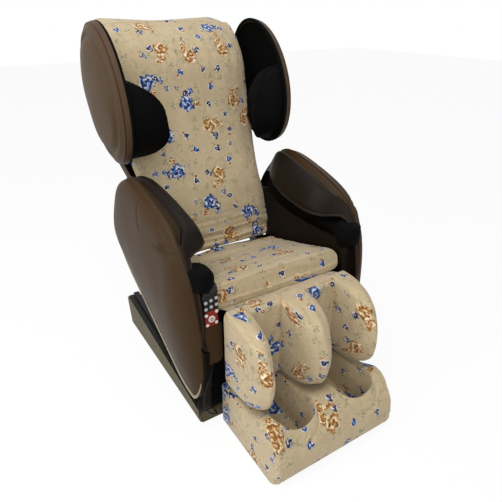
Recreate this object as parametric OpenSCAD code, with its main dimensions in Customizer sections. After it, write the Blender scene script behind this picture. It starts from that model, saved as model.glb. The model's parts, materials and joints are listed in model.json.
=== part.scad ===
// Full-body massage chair with a reclining back, a lifting calf and foot rest and a wired remote.
// Millimetres. X runs across (the sitter's left is +X), Y from the toes to the rear, Z up.
// Distances from the front are measured from the toe of the foot box and centred at the end.

/* [Seat] */
// Clear width between the side walls of the arms
seat_gap_w = 524; // [515:1:560]
// Height of the lower front edge of the seat cushion
seat_front_z = 430; // [420:1:445]
// Distance from the toe line to the lower front edge of the seat cushion
seat_front_y = 334; // [330:1:345]
// Slope of the seat down to the back, in degrees
seat_tilt = 15; // [12:0.5:17]
// Length of the seat cushion along its slope
seat_l = 428; // [415:1:440]
// Thickness of the seat cushion at its crown
seat_t = 90; // [70:1:95]

/* [Backrest] */
// Lean of the back from upright when it is not reclined, in degrees
back_lean = 25; // [22:0.5:28]
// Height of the back above its hinge, to the top of the pad
back_l = 928; // [915:1:960]
// Half width of the back pad at its waist
back_waist = 240; // [230:1:246]
// Half width of the back pad at the shoulders
back_shoulder = 284; // [275:1:287]
// Depth of the back shell behind the hinge line
shell_depth = 66; // [62:1:72]
// Wall of the moulded shells
shell_wall = 4; // [3:0.5:5]
// Rise of the pad in front of the hinge line at the lumbar bulge
lumbar = 133; // [120:1:140]
// Depth of the pad's back face in front of the hinge line
pad_back = 35; // [34:0.5:38]

/* [Shoulder wings] */
// Height of the wing's centre above the back hinge
wing_t = 610; // [600:1:620]
// Half height of a wing
wing_half_h = 238; // [220:1:245]
// Half depth of a wing from front to rear
wing_half_d = 172; // [160:1:180]
// Bulge of a wing's shell
wing_bulge = 66; // [50:1:72]
// Wall of a wing's padded shell
wing_wall = 10; // [8:0.5:14]

/* [Arms] */
// Length of an arm from nose to tail
arm_l = 660; // [640:1:680]
// Height of the arm's crest
arm_top_z = 757; // [740:1:775]
// Height of the arm's toe, its lowest point
arm_toe_z = 150; // [145:1:165]
// Height of the arm's tail
arm_tail_z = 455; // [440:1:470]
// Half width of the chair at the lower edge of the arms
arm_edge_x = 308; // [304:1:315]
// Outward bulge of an arm
arm_bulge = 60; // [45:1:66]
// Inward reach of the hood over the forearm
hood_reach = 62; // [40:1:66]
// Thickness of the padded arm shell
arm_wall = 25; // [20:1:28]
// Thickness of the inner side wall
side_wall = 24; // [18:1:24]

/* [Foot rest] */
// Width of the foot box
foot_w = 464; // [450:1:470]
// Depth of the foot box from toe to heel
foot_l = 318; // [310:1:322]
// Clearance under the foot box
foot_gap = 6; // [5:0.5:10]
// Width of a foot well
well_w = 132; // [110:1:136]
// Distance of a foot well from the centre line
well_x = 117; // [112:1:118]
// Height of the calf pad's top
calf_top_z = 468; // [460:1:472]
// Half width of the calf pad
calf_half_w = 226; // [220:1:228]
// Width of a calf channel
channel_w = 105; // [95:1:115]

/* [Base] */
// Length of the side rails
rail_l = 700; // [680:1:720]
// Height of a rail at its front end
rail_front_h = 55; // [50:1:62]
// Height of a rail at its rear end
rail_rear_h = 142; // [130:1:150]
// Diameter of a transport wheel
wheel_d = 60; // [50:1:64]

/* [Remote] */
// Width of the remote
remote_w = 56; // [50:1:58]
// Thickness of the remote
remote_t = 21; // [18:0.5:22]
// Length of the remote
remote_l = 232; // [220:1:240]
// Thickness of the remote's cord
cord_d = 5; // [4:0.5:6]

/* [Mechanism] */
// Radius of the pins of the back and leg hinges
hinge_pin_r = 8; // [6:0.5:9]
// Running clearance round pins and shafts
run_gap = 0.06; // [0.03:0.01:0.09]
// Distance between moving faces
free_gap = 0.4; // [0.3:0.05:0.8]
// Radius of a massage roller
roller_r = 20; // [16:0.5:21]
// Width of a massage roller
roller_w = 24; // [18:1:26]
// Radius of the lead screw
screw_r = 6; // [5:0.5:7]
// Pin radius of an actuator's eyes
eye_pin_r = 5; // [4:0.5:5.5]

/* [Hidden] */
$fn = 48;
soft_gap = 0.3;

leather = [0.30, 0.25, 0.20];
dark_leather = [0.20, 0.15, 0.12];
black_cloth = [0.07, 0.07, 0.07];
cover_cloth = [0.80, 0.70, 0.58];
moulded_olive = [0.33, 0.31, 0.24];
champagne = [0.62, 0.57, 0.46];
black_steel = [0.12, 0.12, 0.13];
grey_steel = [0.55, 0.56, 0.58];
black_plastic = [0.10, 0.10, 0.11];

foot_y = seat_front_y - 16 - foot_l;
toe_y = foot_y - 15;
back_hinge_v = seat_l + 36;
back_hinge_w = 66;
back_hinge_y = seat_front_y + back_hinge_v * cos(seat_tilt) + back_hinge_w * sin(seat_tilt);
back_hinge_z = seat_front_z - back_hinge_v * sin(seat_tilt) + back_hinge_w * cos(seat_tilt);
leg_hinge_y = seat_front_y - 51;
leg_hinge_z = seat_front_z;
pad_top_back = 44;

function mix(a, b, t) = a + (b - a) * t;
function clamp01(t) = max(0, min(1, t));
function smooth(t) = let(c = clamp01(t)) c * c * (3 - 2 * c);
function arc_rise(t) = sqrt(1 - pow(1 - clamp01(t), 2));
function spow(v, p) = sign(v) * pow(abs(v), p);

// A smooth curve through a short list of points, at position u from 0 to len - 1.
function knot(points, i) = points[max(0, min(len(points) - 1, i))];
function curve_at(points, u) =
    let(i = min(floor(u), len(points) - 2), t = u - i,
        a = knot(points, i - 1), b = knot(points, i), c = knot(points, i + 1), d = knot(points, i + 2))
    0.5 * (2 * b + (c - a) * t + (2 * a - 5 * b + 4 * c - d) * t * t + (3 * b - a - 3 * c + d) * t * t * t);
function curve(points, steps) =
    [for (k = [0 : steps]) curve_at(points, k * (len(points) - 1) / steps)];
// The value of a curve of [position, value] points at a position.
function along(points, x) = lookup(x, curve(points, 6 * (len(points) - 1)));

// A closed solid through rings of equal length. The rings run anticlockwise seen from their far end.
module skin(rings) {
    n = len(rings[0]);
    m = len(rings);
    flat = [for (r = rings) each r];
    shares = [for (i = [1 : n]) 1 / n];
    function mean(r) = [for (k = [0 : 2]) [for (p = r) p[k]] * shares];
    points = concat(flat, [mean(rings[0]), mean(rings[m - 1])]);
    sides = [for (i = [0 : m - 2], j = [0 : n - 1])
        let(a = i * n + j, b = i * n + (j + 1) % n, c = b + n, d = a + n) each [[a, d, c], [a, c, b]]];
    caps = [for (j = [0 : n - 1]) each [[m * n, j, (j + 1) % n],
        [m * n + 1, (m - 1) * n + (j + 1) % n, (m - 1) * n + j]]];
    polyhedron(points = points, faces = concat(sides, caps));
}

// A closed wall between two grids of equal size. Seen from outside, rows run up and columns left.
module wall_between(outer, inner) {
    m = len(outer);
    n = len(outer[0]);
    points = concat([for (r = outer) each r], [for (r = inner) each r]);
    shift = m * n;
    faces = [for (i = [0 : m - 2], j = [0 : n - 2])
        let(a = i * n + j, b = a + 1, c = b + n, d = a + n)
        each [[a, d, c], [a, c, b], [shift + a, shift + c, shift + d], [shift + a, shift + b, shift + c]]];
    ends = [for (i = [0 : m - 2]) let(a = i * n, b = a + n, c = a + n - 1, d = c + n)
        each [[a, shift + a, shift + b], [a, shift + b, b], [c, shift + d, shift + c], [c, d, shift + d]]];
    rims = [for (j = [0 : n - 2]) let(a = j, b = j + 1, c = (m - 1) * n + j, d = c + 1)
        each [[a, b, shift + b], [a, shift + b, shift + a], [c, shift + d, d], [c, shift + c, shift + d]]];
    polyhedron(points = points, faces = concat(faces, ends, rims));
}

// A flat ring of the superellipse between two corners; m is its squareness.
function oval(x0, x1, y0, y1, m, n) = [for (k = [0 : n - 1]) let(a = 360 * k / n)
    [mix(x0, x1, 0.5 + 0.5 * spow(cos(a), 2 / m)), mix(y0, y1, 0.5 + 0.5 * spow(sin(a), 2 / m))]];

module placed() translate([0, -(toe_y + rear_y) / 2, 0]) children();
module on_seat() placed() translate([0, seat_front_y, seat_front_z]) rotate([-seat_tilt, 0, 0]) children();
module on_back() placed() translate([0, back_hinge_y, back_hinge_z]) rotate([-back_lean, 0, 0]) children();
module both_sides() {
    children();
    mirror([1, 0, 0]) children();
}
// A side view drawn in Y and Z, extruded across from one X to another.
module across(x0, x1) translate([x0, 0, 0]) rotate([90, 0, 90]) linear_extrude(x1 - x0) children();
// A plate's side view: a round eye at a, tapering to a width w at b.
module strap(a, r, b, w) {
    d = (b - a) / norm(b - a);
    side = [-d[1], d[0]];
    translate(a) circle(r = r);
    polygon([a + r * side, a - r * side, b - w / 2 * side, b + w / 2 * side]);
}
module shaft(x0, x1, r) translate([x0, 0, 0]) rotate([0, 90, 0]) cylinder(h = x1 - x0, r = r);

// ---- base ----

side_x = seat_gap_w / 2;
rail_y = seat_front_y - 8;
floor_gap = 8;
foot_h = 12;
rail_w = 43;
flange_w = 20;
post_x = 236;
post_w = 20;
seat_rail_top = -3;
seat_rail_h = 26;
wheel_y = 965;
wheel_z = wheel_d / 2 + 5;

function rail_top(y) = mix(rail_front_h, rail_rear_h, (y - rail_y) / rail_l);
function seat_rail_under(y) = let(v = (y - seat_front_y + (seat_rail_top - seat_rail_h) * -sin(seat_tilt)) / cos(seat_tilt))
    seat_front_z - v * sin(seat_tilt) + (seat_rail_top - seat_rail_h) * cos(seat_tilt);

module rail_outline() {
    round_r = 22;
    end_y = rail_y + rail_l;
    hull() {
        translate([rail_y, floor_gap]) square([1, rail_front_h - floor_gap]);
        translate([end_y - round_r, rail_rear_h - round_r]) circle(r = round_r);
        translate([end_y - 2 * round_r, floor_gap]) square([round_r, 1]);
    }
}

module base_rail() {
    chamfer = 6;
    color(moulded_olive) placed() {
        across(side_x, side_x + rail_w - chamfer) rail_outline();
        across(side_x + rail_w - chamfer, side_x + rail_w) offset(delta = -3) rail_outline();
    }
}

module base_frame() {
    web = 3;
    front = rail_y + 14;
    rear = rail_y + rail_l - 20;
    flange_end = wheel_y - wheel_d / 2 - 6;
    ridge = 14;
    pan_z = 46;
    tube = 30;
    color(black_steel) placed() {
        both_sides() {
            across(side_x - web, side_x) polygon([[front, foot_h], [rear, foot_h],
                [rear, rail_top(rear) + ridge], [front, rail_top(front) + ridge]]);
            across(side_x - flange_w, side_x) polygon([[front, foot_h], [flange_end, foot_h],
                [flange_end, foot_h + web], [front, foot_h + web]]);
            across(side_x, side_x + flange_w) polygon([
                [front, rail_top(front) + ridge - web], [rear, rail_top(rear) + ridge - web],
                [rear, rail_top(rear) + ridge], [front, rail_top(front) + ridge]]);
            for (y = [seat_front_y + 96, seat_front_y + 388])
                across(post_x - post_w / 2, post_x + post_w / 2) polygon([
                    [y - 20, pan_z], [y + 20, pan_z],
                    [y + 20, seat_rail_under(y + 20)], [y - 20, seat_rail_under(y - 20)]]);
            translate([post_x - post_w / 2, wheel_y - 50, wheel_z - 6]) cube([3, 64, 40]);
            translate([0, wheel_y, wheel_z]) shaft(post_x - post_w / 2, side_x - web, 5);
        }
        translate([-side_x + web, seat_front_y + 60, pan_z - web]) cube([2 * (side_x - web), 370, web]);
        for (y = [front + 4, wheel_y - wheel_d / 2 - tube - 6])
            translate([-side_x + web, y, foot_h + web]) cube([2 * (side_x - web), tube, 26]);
    }
}

module base_front_bar() {
    color(moulded_olive) placed() difference() {
        translate([-side_x, rail_y, floor_gap]) cube([2 * side_x, 12, rail_front_h - floor_gap - 8]);
        translate([cord_end[0], rail_y - 1, cord_end[2]]) rotate([-90, 0, 0]) cylinder(h = 5, r = cord_d / 2 + 2);
    }
}

module base_rear_cover() {
    y = rail_y + rail_l - 20;
    color(black_plastic) placed() difference() {
        across(-side_x + 3, side_x - 3) polygon([[y, foot_h + 2], [y + 4, foot_h + 2], [y + 4, 128], [y - 36, 150],
            [y - 38, 146], [y, 126]]);
        translate([-120 - inlet_w / 2, y - 1, 60 - inlet_h / 2]) cube([inlet_w, 6, inlet_h]);
    }
}

module rubber_feet() {
    color([0.08, 0.08, 0.08]) placed() both_sides()
        for (y = [rail_y + 55, wheel_y - 74])
            translate([side_x - 17, y, 0]) cylinder(h = foot_h, r1 = 14, r2 = 16);
}

inlet_w = 70;
inlet_h = 34;
switch_w = 20;
switch_h = 26;

module power_inlet() {
    y = rail_y + rail_l - 20;
    color(black_plastic) placed() translate([-120, y, 60]) difference() {
        union() {
            translate([-inlet_w / 2, -26, -inlet_h / 2]) cube([inlet_w, 30, inlet_h]);
            translate([-inlet_w / 2 - 4, 4, -inlet_h / 2 - 4]) cube([inlet_w + 8, 3, inlet_h + 8]);
        }
        translate([-27, -14, -10]) cube([26, 30, 20]);
        translate([18 - switch_w / 2 - free_gap, -8, -switch_h / 2 - free_gap])
            cube([switch_w + 2 * free_gap, 20, switch_h + 2 * free_gap]);
        translate([18, 2, 0]) shaft(-switch_w / 2 - 4, switch_w / 2 + 4, 2);
    }
    color(black_plastic) placed() for (x = [-120 - 19, -120 - 9])
        translate([x, y - 14, 60 - 3]) cube([2, 16, 6]);
}

module rocker_switch() {
    y = rail_y + rail_l - 20;
    color([0.6, 0.1, 0.1]) placed() translate([-120 + 18, y + 2, 60]) {
        across(-switch_w / 2, switch_w / 2) polygon([[-3, -9], [-3, 9], [3, 12], [8, 12], [6, 0], [8, -12], [3, -12]]);
        shaft(-switch_w / 2 - 3.5, switch_w / 2 + 3.5, 2 - run_gap);
    }
}

module control_box() {
    color([0.45, 0.47, 0.48]) placed() translate([60, seat_front_y + 130, 46]) {
        cube([150, 220, 52]);
        for (x = [15 : 24 : 135])
            translate([x, 30, 52]) cube([8, 160, 6]);
    }
}

module air_pump() {
    color([0.35, 0.36, 0.38]) placed() translate([-140, seat_front_y + 240, 46]) {
        translate([-70, -95, 0]) cube([140, 190, 20]);
        for (y = [-50, 50])
            translate([0, y, 20]) cylinder(h = 52, r = 38);
        translate([-12, -60, 72]) cube([24, 120, 12]);
    }
}

module transport_wheel() {
    color([0.15, 0.15, 0.15]) placed() translate([0, wheel_y, wheel_z])
        rotate([0, 90, 0]) rotate_extrude() difference() {
            polygon([[5 + run_gap, post_x - post_w / 2 + 4], [wheel_d / 2 - 3, post_x - post_w / 2 + 4],
                [wheel_d / 2, post_x - post_w / 2 + 7], [wheel_d / 2, post_x + 5],
                [wheel_d / 2 - 3, post_x + 8], [5 + run_gap, post_x + 8]]);
            translate([14, post_x - post_w / 2]) square([8, 6]);
        }
}

// ---- seat ----

seat_lug_x = 238;
lug_t = 6;
leg_lug_x = 186;
mount_x = 34;
back_range = 45;
leg_range = 80;
screw_n = 35;
lever_n = 80;
lever_t = -60;
leg_lever_y = 14;
leg_lever_z = -50;

// Turning a point of the side view about a hinge, with the top going to the rear.
function turned(p, a) = [p[0] * cos(a) + p[1] * sin(a), -p[0] * sin(a) + p[1] * cos(a)];
// An actuator runs along the chord of its lever pin's arc, half the arc's rise to the side of the pin.
back_pin = turned([lever_n, lever_t], back_lean);
back_chord = turned(back_pin, back_range) - back_pin;
back_rise = norm(back_pin) * (1 - cos(back_range / 2)) / 2;
back_side = [-back_chord[1], back_chord[0]] / norm(back_chord);
leg_pin = [leg_lever_y, leg_lever_z];
leg_chord = turned(leg_pin, leg_range) - leg_pin;
leg_rise = norm(leg_pin) * (1 - cos(leg_range / 2)) / 2;
leg_side = [-leg_chord[1], leg_chord[0]] / norm(leg_chord);
back_act_l = 316;
leg_act_l = 234;
back_end = [back_hinge_y, back_hinge_z] + back_pin + back_rise * back_side;
back_eye = back_end + back_act_l * back_chord / norm(back_chord);
leg_end = [leg_hinge_y, leg_hinge_z] + leg_pin + leg_rise * leg_side;
leg_eye = leg_end - leg_act_l * leg_chord / norm(leg_chord);
back_act_angle = atan2(-back_chord[1], -back_chord[0]);
leg_act_angle = atan2(leg_chord[1], leg_chord[0]);

module seat_frame() {
    under = seat_rail_top - seat_rail_h;
    color(black_steel) {
        on_seat() {
            both_sides() {
                translate([post_x - 12, -6, under]) cube([20, back_hinge_v - 8, seat_rail_h]);
                across(seat_lug_x, seat_lug_x + lug_t)
                    strap([back_hinge_v, back_hinge_w], 22, [back_hinge_v - 8, under + 2], 36);
                translate([0, back_hinge_v, back_hinge_w]) shaft(seat_lug_x - 16, seat_lug_x + 1, hinge_pin_r);
                for (v = [90, 330])
                    translate([post_x + 7, v, under + 1]) cube([side_x - post_x - 7, 26, seat_rail_h - 2]);
            }
            translate([-post_x - 7, -5, seat_rail_top - 1]) cube([2 * post_x + 14, seat_l, 1 - seat_rail_top]);
            for (v = [16, 190, 390])
                translate([-post_x + 5, v, under + 2]) cube([2 * post_x - 10, 22, seat_rail_h - 2]);
        }
        placed() {
            both_sides() {
                across(leg_lug_x, leg_lug_x + lug_t)
                    strap([leg_hinge_y, leg_hinge_z], 13, [seat_front_y + 26, leg_hinge_z - 24], 16);
                translate([0, leg_hinge_y, leg_hinge_z]) shaft(leg_lug_x - 16, leg_lug_x + 1, hinge_pin_r);
            }
            for (side = [1, -1]) {
                eye = side > 0 ? back_eye : leg_eye;
                for (x = [side * mount_x - 24, side * mount_x + 18])
                    across(x, x + 6)
                        strap(eye, 13, [seat_front_y + 192, seat_front_z - 68], 20);
                translate([0, eye[0], eye[1]]) shaft(side * mount_x - 19, side * mount_x + 19, eye_pin_r);
            }
        }
    }
}

// Rings across the seat from its front roll to the back, with channels sewn across near the rear.
module seat_cushion() {
    half = side_x - 4;
    stations = [[-18, 22, 62, 246], [-15, 8, 78, 252], [-6, 1, 86, 256], [12, 0, 90, 258], [60, 0, 91, 258],
        [130, 0, 90, 258], [200, 0, 89, 258], [262, 0, 87, 258], [272, 0, 83, 257], [282, 0, 87, 258],
        [340, 0, 86, 258], [350, 0, 82, 257], [360, 0, 85, 258], [400, 0, 82, 257], [420, 2, 76, 254],
        [428, 12, 62, 248]];
    color(cover_cloth) on_seat() skin([for (s = stations) let(
        v = s[0] < 0 ? s[0] : s[0] * seat_l / 428,
        w1 = s[2] * seat_t / 90, hw = s[3] + half - 258)
        [for (p = oval(-hw, hw, max(soft_gap, s[1]), w1, 5, 28))
            [-p[0], v, p[1] + (p[1] > w1 * 0.6 ? 5 * (1 - pow(p[0] / hw, 2)) : 0)]]]);
}

// ---- arms ----

arm_y = seat_front_y - 57;
arm_tail_y = arm_y + arm_l;

// The upper outline of an arm, from its nose over the crest to the tail.
arm_crown = [[arm_y, arm_toe_z + 215], [arm_y + 8, arm_toe_z + 320], [arm_y + 44, arm_toe_z + 440],
    [arm_y + 130, arm_top_z - 76], [arm_y + 292, arm_top_z - 19], [arm_y + 455, arm_top_z],
    [arm_y + 565, arm_top_z - 84], [arm_tail_y - 26, arm_tail_z + 92], [arm_tail_y, arm_tail_z + 16]];

function arm_sole(y) = let(nose = 40)
    mix(arm_toe_z, arm_tail_z, (y - arm_y - 36) / (arm_l - 36)) + arm_toe_z * (1 - arc_rise((y - arm_y + 1) / nose));
function arm_hood(y) = smooth((y - arm_y - 22) / 90) * (1 - smooth((y - arm_y - 360) / 150));
function arm_swell(y) = min(arc_rise((y - arm_y) / 130), arc_rise((arm_tail_y - y + 4) / 190));

// One section of an arm: the outer face from the sole over the crest to the lip of the hood.
function arm_section(y, top, inside) =
    let(sole = arm_sole(y), h = top - sole, g = arm_hood(y), b = arm_bulge * arm_swell(y),
        th = min(arm_wall, 0.2 * h + 3), rise = min(30, 0.16 * h),
        lip = arm_edge_x - 0.45 * th - hood_reach * g,
        outer = [[arm_edge_x, sole], [arm_edge_x + 0.68 * b, sole + 0.30 * h],
            [arm_edge_x + b, sole + 0.62 * h], [arm_edge_x + 0.78 * b, top - rise],
            [arm_edge_x + 0.2 * b - 4 * g, top], [mix(arm_edge_x, lip, 0.62), top - 3 * g],
            [lip, top - 24 * g]],
        inner = [[arm_edge_x - 0.55 * th, sole], [arm_edge_x + 0.68 * b - 0.8 * th, sole + 0.31 * h],
            [arm_edge_x + b - th, sole + 0.61 * h], [arm_edge_x + 0.78 * b - 0.95 * th, top - rise - 0.35 * th],
            [arm_edge_x + 0.2 * b - 4 * g - 0.35 * th, top - 0.95 * th],
            [mix(arm_edge_x, lip, 0.62) + 0.1 * th * g, top - 3 * g - (0.3 + 0.55 * g) * th],
            [lip + 3 * g, top - 24 * g - (0.12 + 0.4 * g) * th]])
    [for (p = curve(inside ? inner : outer, 12)) [p[0], y, p[1]]];

module arm_shell() {
    stations = curve(arm_crown, 18);
    outer = [for (s = stations) arm_section(s[0], s[1], false)];
    inner = [for (s = stations) arm_section(s[0], s[1], true)];
    color(leather) placed() wall_between(outer, inner);
}

wall_rest_y = [[arm_y + 38, arm_toe_z + 392], [arm_y + 90, arm_toe_z + 394], [arm_y + 190, arm_toe_z + 390],
    [arm_y + 330, arm_toe_z + 392], [arm_y + 430, arm_toe_z + 404], [arm_y + 520, arm_toe_z + 440],
    [arm_y + 580, arm_toe_z + 430], [arm_tail_y - 50, arm_tail_z + 50]];

module side_wall() {
    color(dark_leather) placed() across(side_x, side_x + side_wall) offset(r = 8) offset(delta = -8)
        polygon(concat([[arm_y + 38, arm_sole(arm_y + 40)], [arm_tail_y - 30, arm_sole(arm_tail_y - 30)]],
            [for (i = [len(wall_rest_y) - 1 : -1 : 0]) wall_rest_y[i]]));
}

// The lower air cushion of the forearm channel: a long lens with a rounded tongue at the front.
module arm_airbag() {
    from = arm_y + 37;
    to = arm_y + 528;
    color(black_cloth) placed() skin([for (k = [0 : 12]) let(
        u = k / 12, y = mix(from, to, u), full = sqrt(max(0.04, 1 - pow(abs(2 * u - 1), 2.6))),
        rest = max(arm_toe_z + 395, along(wall_rest_y, y)),
        x0 = side_x + 26 - 24 * full, x1 = side_x + 30 + 34 * full * arm_swell(y))
        [for (p = oval(x0, x1, rest + 1.5 + 6 * (1 - full), rest + 12 + 42 * full, 2.6, 14)) [p[0], y, p[1]]]
    ]);
}

module arm_trim_strips() {
    slope = (arm_tail_z - arm_toe_z) / (arm_l - 36);
    y0 = arm_y + 50;
    y1 = arm_tail_y - 6;
    color(champagne) placed() both_sides() across(side_x + 2, arm_edge_x + 3) polygon([
        [y0, arm_sole(y0) - 11], [y1, arm_sole(y1) - 11], [y1 + 4, arm_sole(y1) - 4],
        [y1, arm_sole(y1)], [y0, arm_sole(y0)], [y0 - 4, arm_sole(y0) - 6]]);
}

// ---- backrest ----

shell_top = back_l - 46;
function up_back(t) = t * back_l / 928;

// Half width of the back pad by height above the hinge.
pad_sides = [for (p = [[10, back_waist - 12], [70, back_waist + 5], [160, back_waist + 3], [270, back_waist],
    [370, back_waist + 12], [480, mix(back_waist, back_shoulder, 0.65)], [620, back_shoulder - 6],
    [760, back_shoulder + 2], [850, back_shoulder + 1], [900, back_shoulder - 14], [928, back_shoulder - 58]])
    [up_back(p[0]), p[1]]];
// Front face of the back pad by height above the hinge.
pad_face = [for (p = [[10, 92], [60, 104], [160, lumbar - 8], [260, lumbar], [400, lumbar - 12],
    [520, lumbar - 14], [620, lumbar - 3], [700, lumbar + 10], [770, lumbar + 2], [830, lumbar - 25],
    [880, lumbar - 62], [915, lumbar - 100], [928, 14]]) [up_back(p[0]), p[1]]];

pad_low_t = 12;
wing_rim_x = back_shoulder + 12;
rim_lip = 4.2;
pad_heights = [pad_low_t, 17, 30, up_back(80), up_back(145), up_back(210), up_back(270), up_back(340),
    up_back(420), up_back(500), up_back(580), up_back(660), up_back(740), up_back(800), up_back(850), shell_top,
    shell_top + 4, mix(shell_top, back_l, 0.4), mix(shell_top, back_l, 0.75), back_l];
crown_dip = 14;

function pad_ring(i) = let(t = pad_heights[i], over = t > shell_top + 1, hw = along(pad_sides, t) - (i == 0 ? 8 : 0),
        front = along(pad_face, t) - (i == 0 ? 5 : 0),
        rear = over ? mix(-pad_top_back, -14, (t - shell_top) / (back_l - shell_top)) : pad_back)
    [for (p = oval(-hw, hw, -front, -rear, 4, 28))
        [p[0], p[1], t - crown_dip * smooth((t - shell_top - 4) / (back_l - shell_top - 4)) * (1 - pow(p[0] / hw, 2))]];

module back_pad() {
    color(cover_cloth) on_back() skin([for (i = [0 : len(pad_heights) - 1]) pad_ring(i)]);
}

// The back shell is a tray, open to the front. Half its rim profile: [share of width, share of depth].
tray_edge = [[1, 0], [1, 0.28], [0.99, 0.52], [0.965, 0.74], [0.92, 0.9], [0.86, 0.985], [0.77, 1], [0.4, 1]];
tray_profile = concat([for (e = tray_edge) [-e[0], e[1]]], [[0, 1]],
    [for (i = [len(tray_edge) - 1 : -1 : 0]) tray_edge[i]]);
tray_sides = concat([[-1, 1], [-0.9, 1], [-0.4, 1], [0, 1]],
    [for (i = [len(tray_edge) - 1 : -1 : 0]) tray_edge[i]]);
tray_low_t = 26;
tray_rim = 34;

function shell_half_w(t) = mix(back_waist + 1, wing_rim_x - rim_lip - soft_gap, smooth((t - up_back(350)) / up_back(70)));
function shell_point(u, v, inset) =
    let(t = mix(tray_low_t, shell_top - 1, 0.5 + 0.5 * v[0] * (1 - 2 * inset / shell_top)))
    [u[0] * (shell_half_w(t) - inset), mix(-tray_rim, shell_depth - (inset > 0 ? inset : 0), u[1] * v[1]), t];
shell_outside = [for (v = tray_sides) [for (u = tray_profile) shell_point([-u[0], u[1]], v, 0)]];

module back_shell() {
    inner = [for (v = tray_sides) [for (u = tray_profile) shell_point([-u[0], u[1]], v, shell_wall)]];
    color(leather) on_back() wall_between(shell_outside, inner);
}

// Rear reach of the chair, over the back shell and the pad's top.
function reach(p) = back_hinge_y + p[1] * cos(back_lean) + p[2] * sin(back_lean);
rear_y = max(max([for (r = shell_outside, p = r) reach(p)]),
    max([for (i = [0 : len(pad_heights) - 1], p = pad_ring(i)) reach(p)]));

tube_x = 196;
mech_top = back_l - 112;

module back_frame() {
    tube_w = 22;
    rear = 20;
    top = mech_top;
    low = 36;
    color(black_steel) on_back() {
        both_sides() {
            translate([tube_x, -pad_back + soft_gap, -4]) cube([tube_w, pad_back - soft_gap + rear, top + 26]);
            difference() {
                union() {
                    shaft(tube_x + tube_w, tube_x + tube_w + 10, 20);
                    translate([tube_x + tube_w, 0, 0]) cube([10, rear, 20]);
                }
                shaft(tube_x - 1, tube_x + tube_w + 12, hinge_pin_r + run_gap);
            }
            for (t = [mech_top - 346, mech_top - 76])
                translate([tube_x + tube_w / 2, rear - 1, t]) rotate([-90, 0, 0])
                    cylinder(h = shell_depth - shell_wall - rear + 1, r = 8);
        }
        for (t = [low, top])
            translate([-tube_x, 0, t]) cube([2 * tube_x, 25, 22]);
        for (t = [low, top])
            difference() {
                translate([-16, 25, t]) cube([32, 20, 22]);
                translate([0, screw_n, t - 1]) cylinder(h = 24, r = screw_r + run_gap);
            }
        for (x = [mount_x - 14, mount_x + 8])
            across(x, x + 6) strap([lever_n, lever_t], 12, [12, low + 12], 20);
        translate([0, lever_n, lever_t]) shaft(mount_x - 9, mount_x + 9, eye_pin_r);
    }
}

rail_x = 128;

module guide_rails() {
    color(grey_steel) on_back() both_sides() difference() {
        translate([rail_x, 25, 36]) cube([16, 20, mech_top - 14]);
        translate([rail_x - 1, 31, 35]) cube([10, 8, mech_top - 12]);
    }
}

module lead_screw() {
    color(grey_steel) on_back() {
        translate([0, screw_n, 28]) cylinder(h = mech_top + 4, r = screw_r);
        translate([0, screw_n, 20]) cylinder(h = 12, r = 11);
    }
}

carriage_t = 420;
arm_pivot_n = -2;
rocker_x = 54;
rocker_l = 68;

module massage_carriage() {
    color([0.25, 0.26, 0.28]) on_back() translate([0, 0, carriage_t]) {
        difference() {
            union() {
                translate([-rail_x + 4, 31 + free_gap, -42]) cube([2 * rail_x - 8, 8 - 2 * free_gap, 84]);
                translate([-18, 26, -42]) cube([36, 22, 84]);
            }
            translate([0, screw_n, -43]) cylinder(h = 86, r = screw_r + run_gap);
        }
        both_sides() for (t = [-30, 10])
            translate([rail_x - 6, 31 + free_gap, t]) cube([14, 8 - 2 * free_gap, 20]);
        difference() {
            translate([-38, -12, -36]) cube([76, 44, 72]);
            translate([0, screw_n, -43]) cylinder(h = 86, r = screw_r + run_gap + 1);
        }
        both_sides() translate([0, arm_pivot_n, 0]) shaft(38, rocker_x + 12, 6);
    }
}

module massage_arm() {
    color([0.85, 0.83, 0.78]) on_back() translate([0, arm_pivot_n, carriage_t]) {
        difference() {
            across(rocker_x, rocker_x + 10) hull() {
                circle(r = 14);
                for (t = [-rocker_l, rocker_l])
                    translate([0, t]) circle(r = 8);
            }
            shaft(rocker_x - 1, rocker_x + 11, 6 + run_gap);
        }
        for (t = [-rocker_l, rocker_l])
            translate([0, 0, t]) shaft(rocker_x + 5, rocker_x + 16 + roller_w, 4);
    }
}

module massage_roller(t) {
    color([0.90, 0.88, 0.84]) on_back() translate([rocker_x + 13, arm_pivot_n, carriage_t + t])
        rotate([0, 90, 0]) rotate_extrude() polygon(concat(
            [[4 + run_gap, 0], [4 + run_gap, roller_w]],
            [for (a = [75 : -15 : -75]) [roller_r - 6 + 6 * cos(a), roller_w / 2 + (roller_w / 2) * sin(a)]]));
}

// ---- shoulder wings ----

wing_n = -160;
wing_turn = 8;

wing_edge = 0.955;
wing_sides = 28;
dish_radii = [0.12, 0.34, 0.54, 0.7, 0.82, 0.9, wing_edge];

// Inner and outer faces of a wing: distance from the chair's middle at radius r from the crown.
function wing_inside(r) = wing_rim_x + (wing_bulge - wing_wall) * pow(max(0, 1 - pow(r / wing_edge, 2)), 0.55);
function wing_outside(r) = wing_rim_x + 7 + (wing_bulge - 7) * pow(max(0, 1 - r * r), 0.5);
function wing_place(r, a) = let(y = wing_half_d * r * sin(a), z = wing_half_h * r * cos(a))
    [wing_n + y * cos(wing_turn) + z * sin(wing_turn), wing_t - y * sin(wing_turn) + z * cos(wing_turn)];
function wing_ring(r, x) = [for (k = [0 : wing_sides - 1]) let(p = wing_place(r, 360 * k / wing_sides)) [x, p[0], p[1]]];

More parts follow.
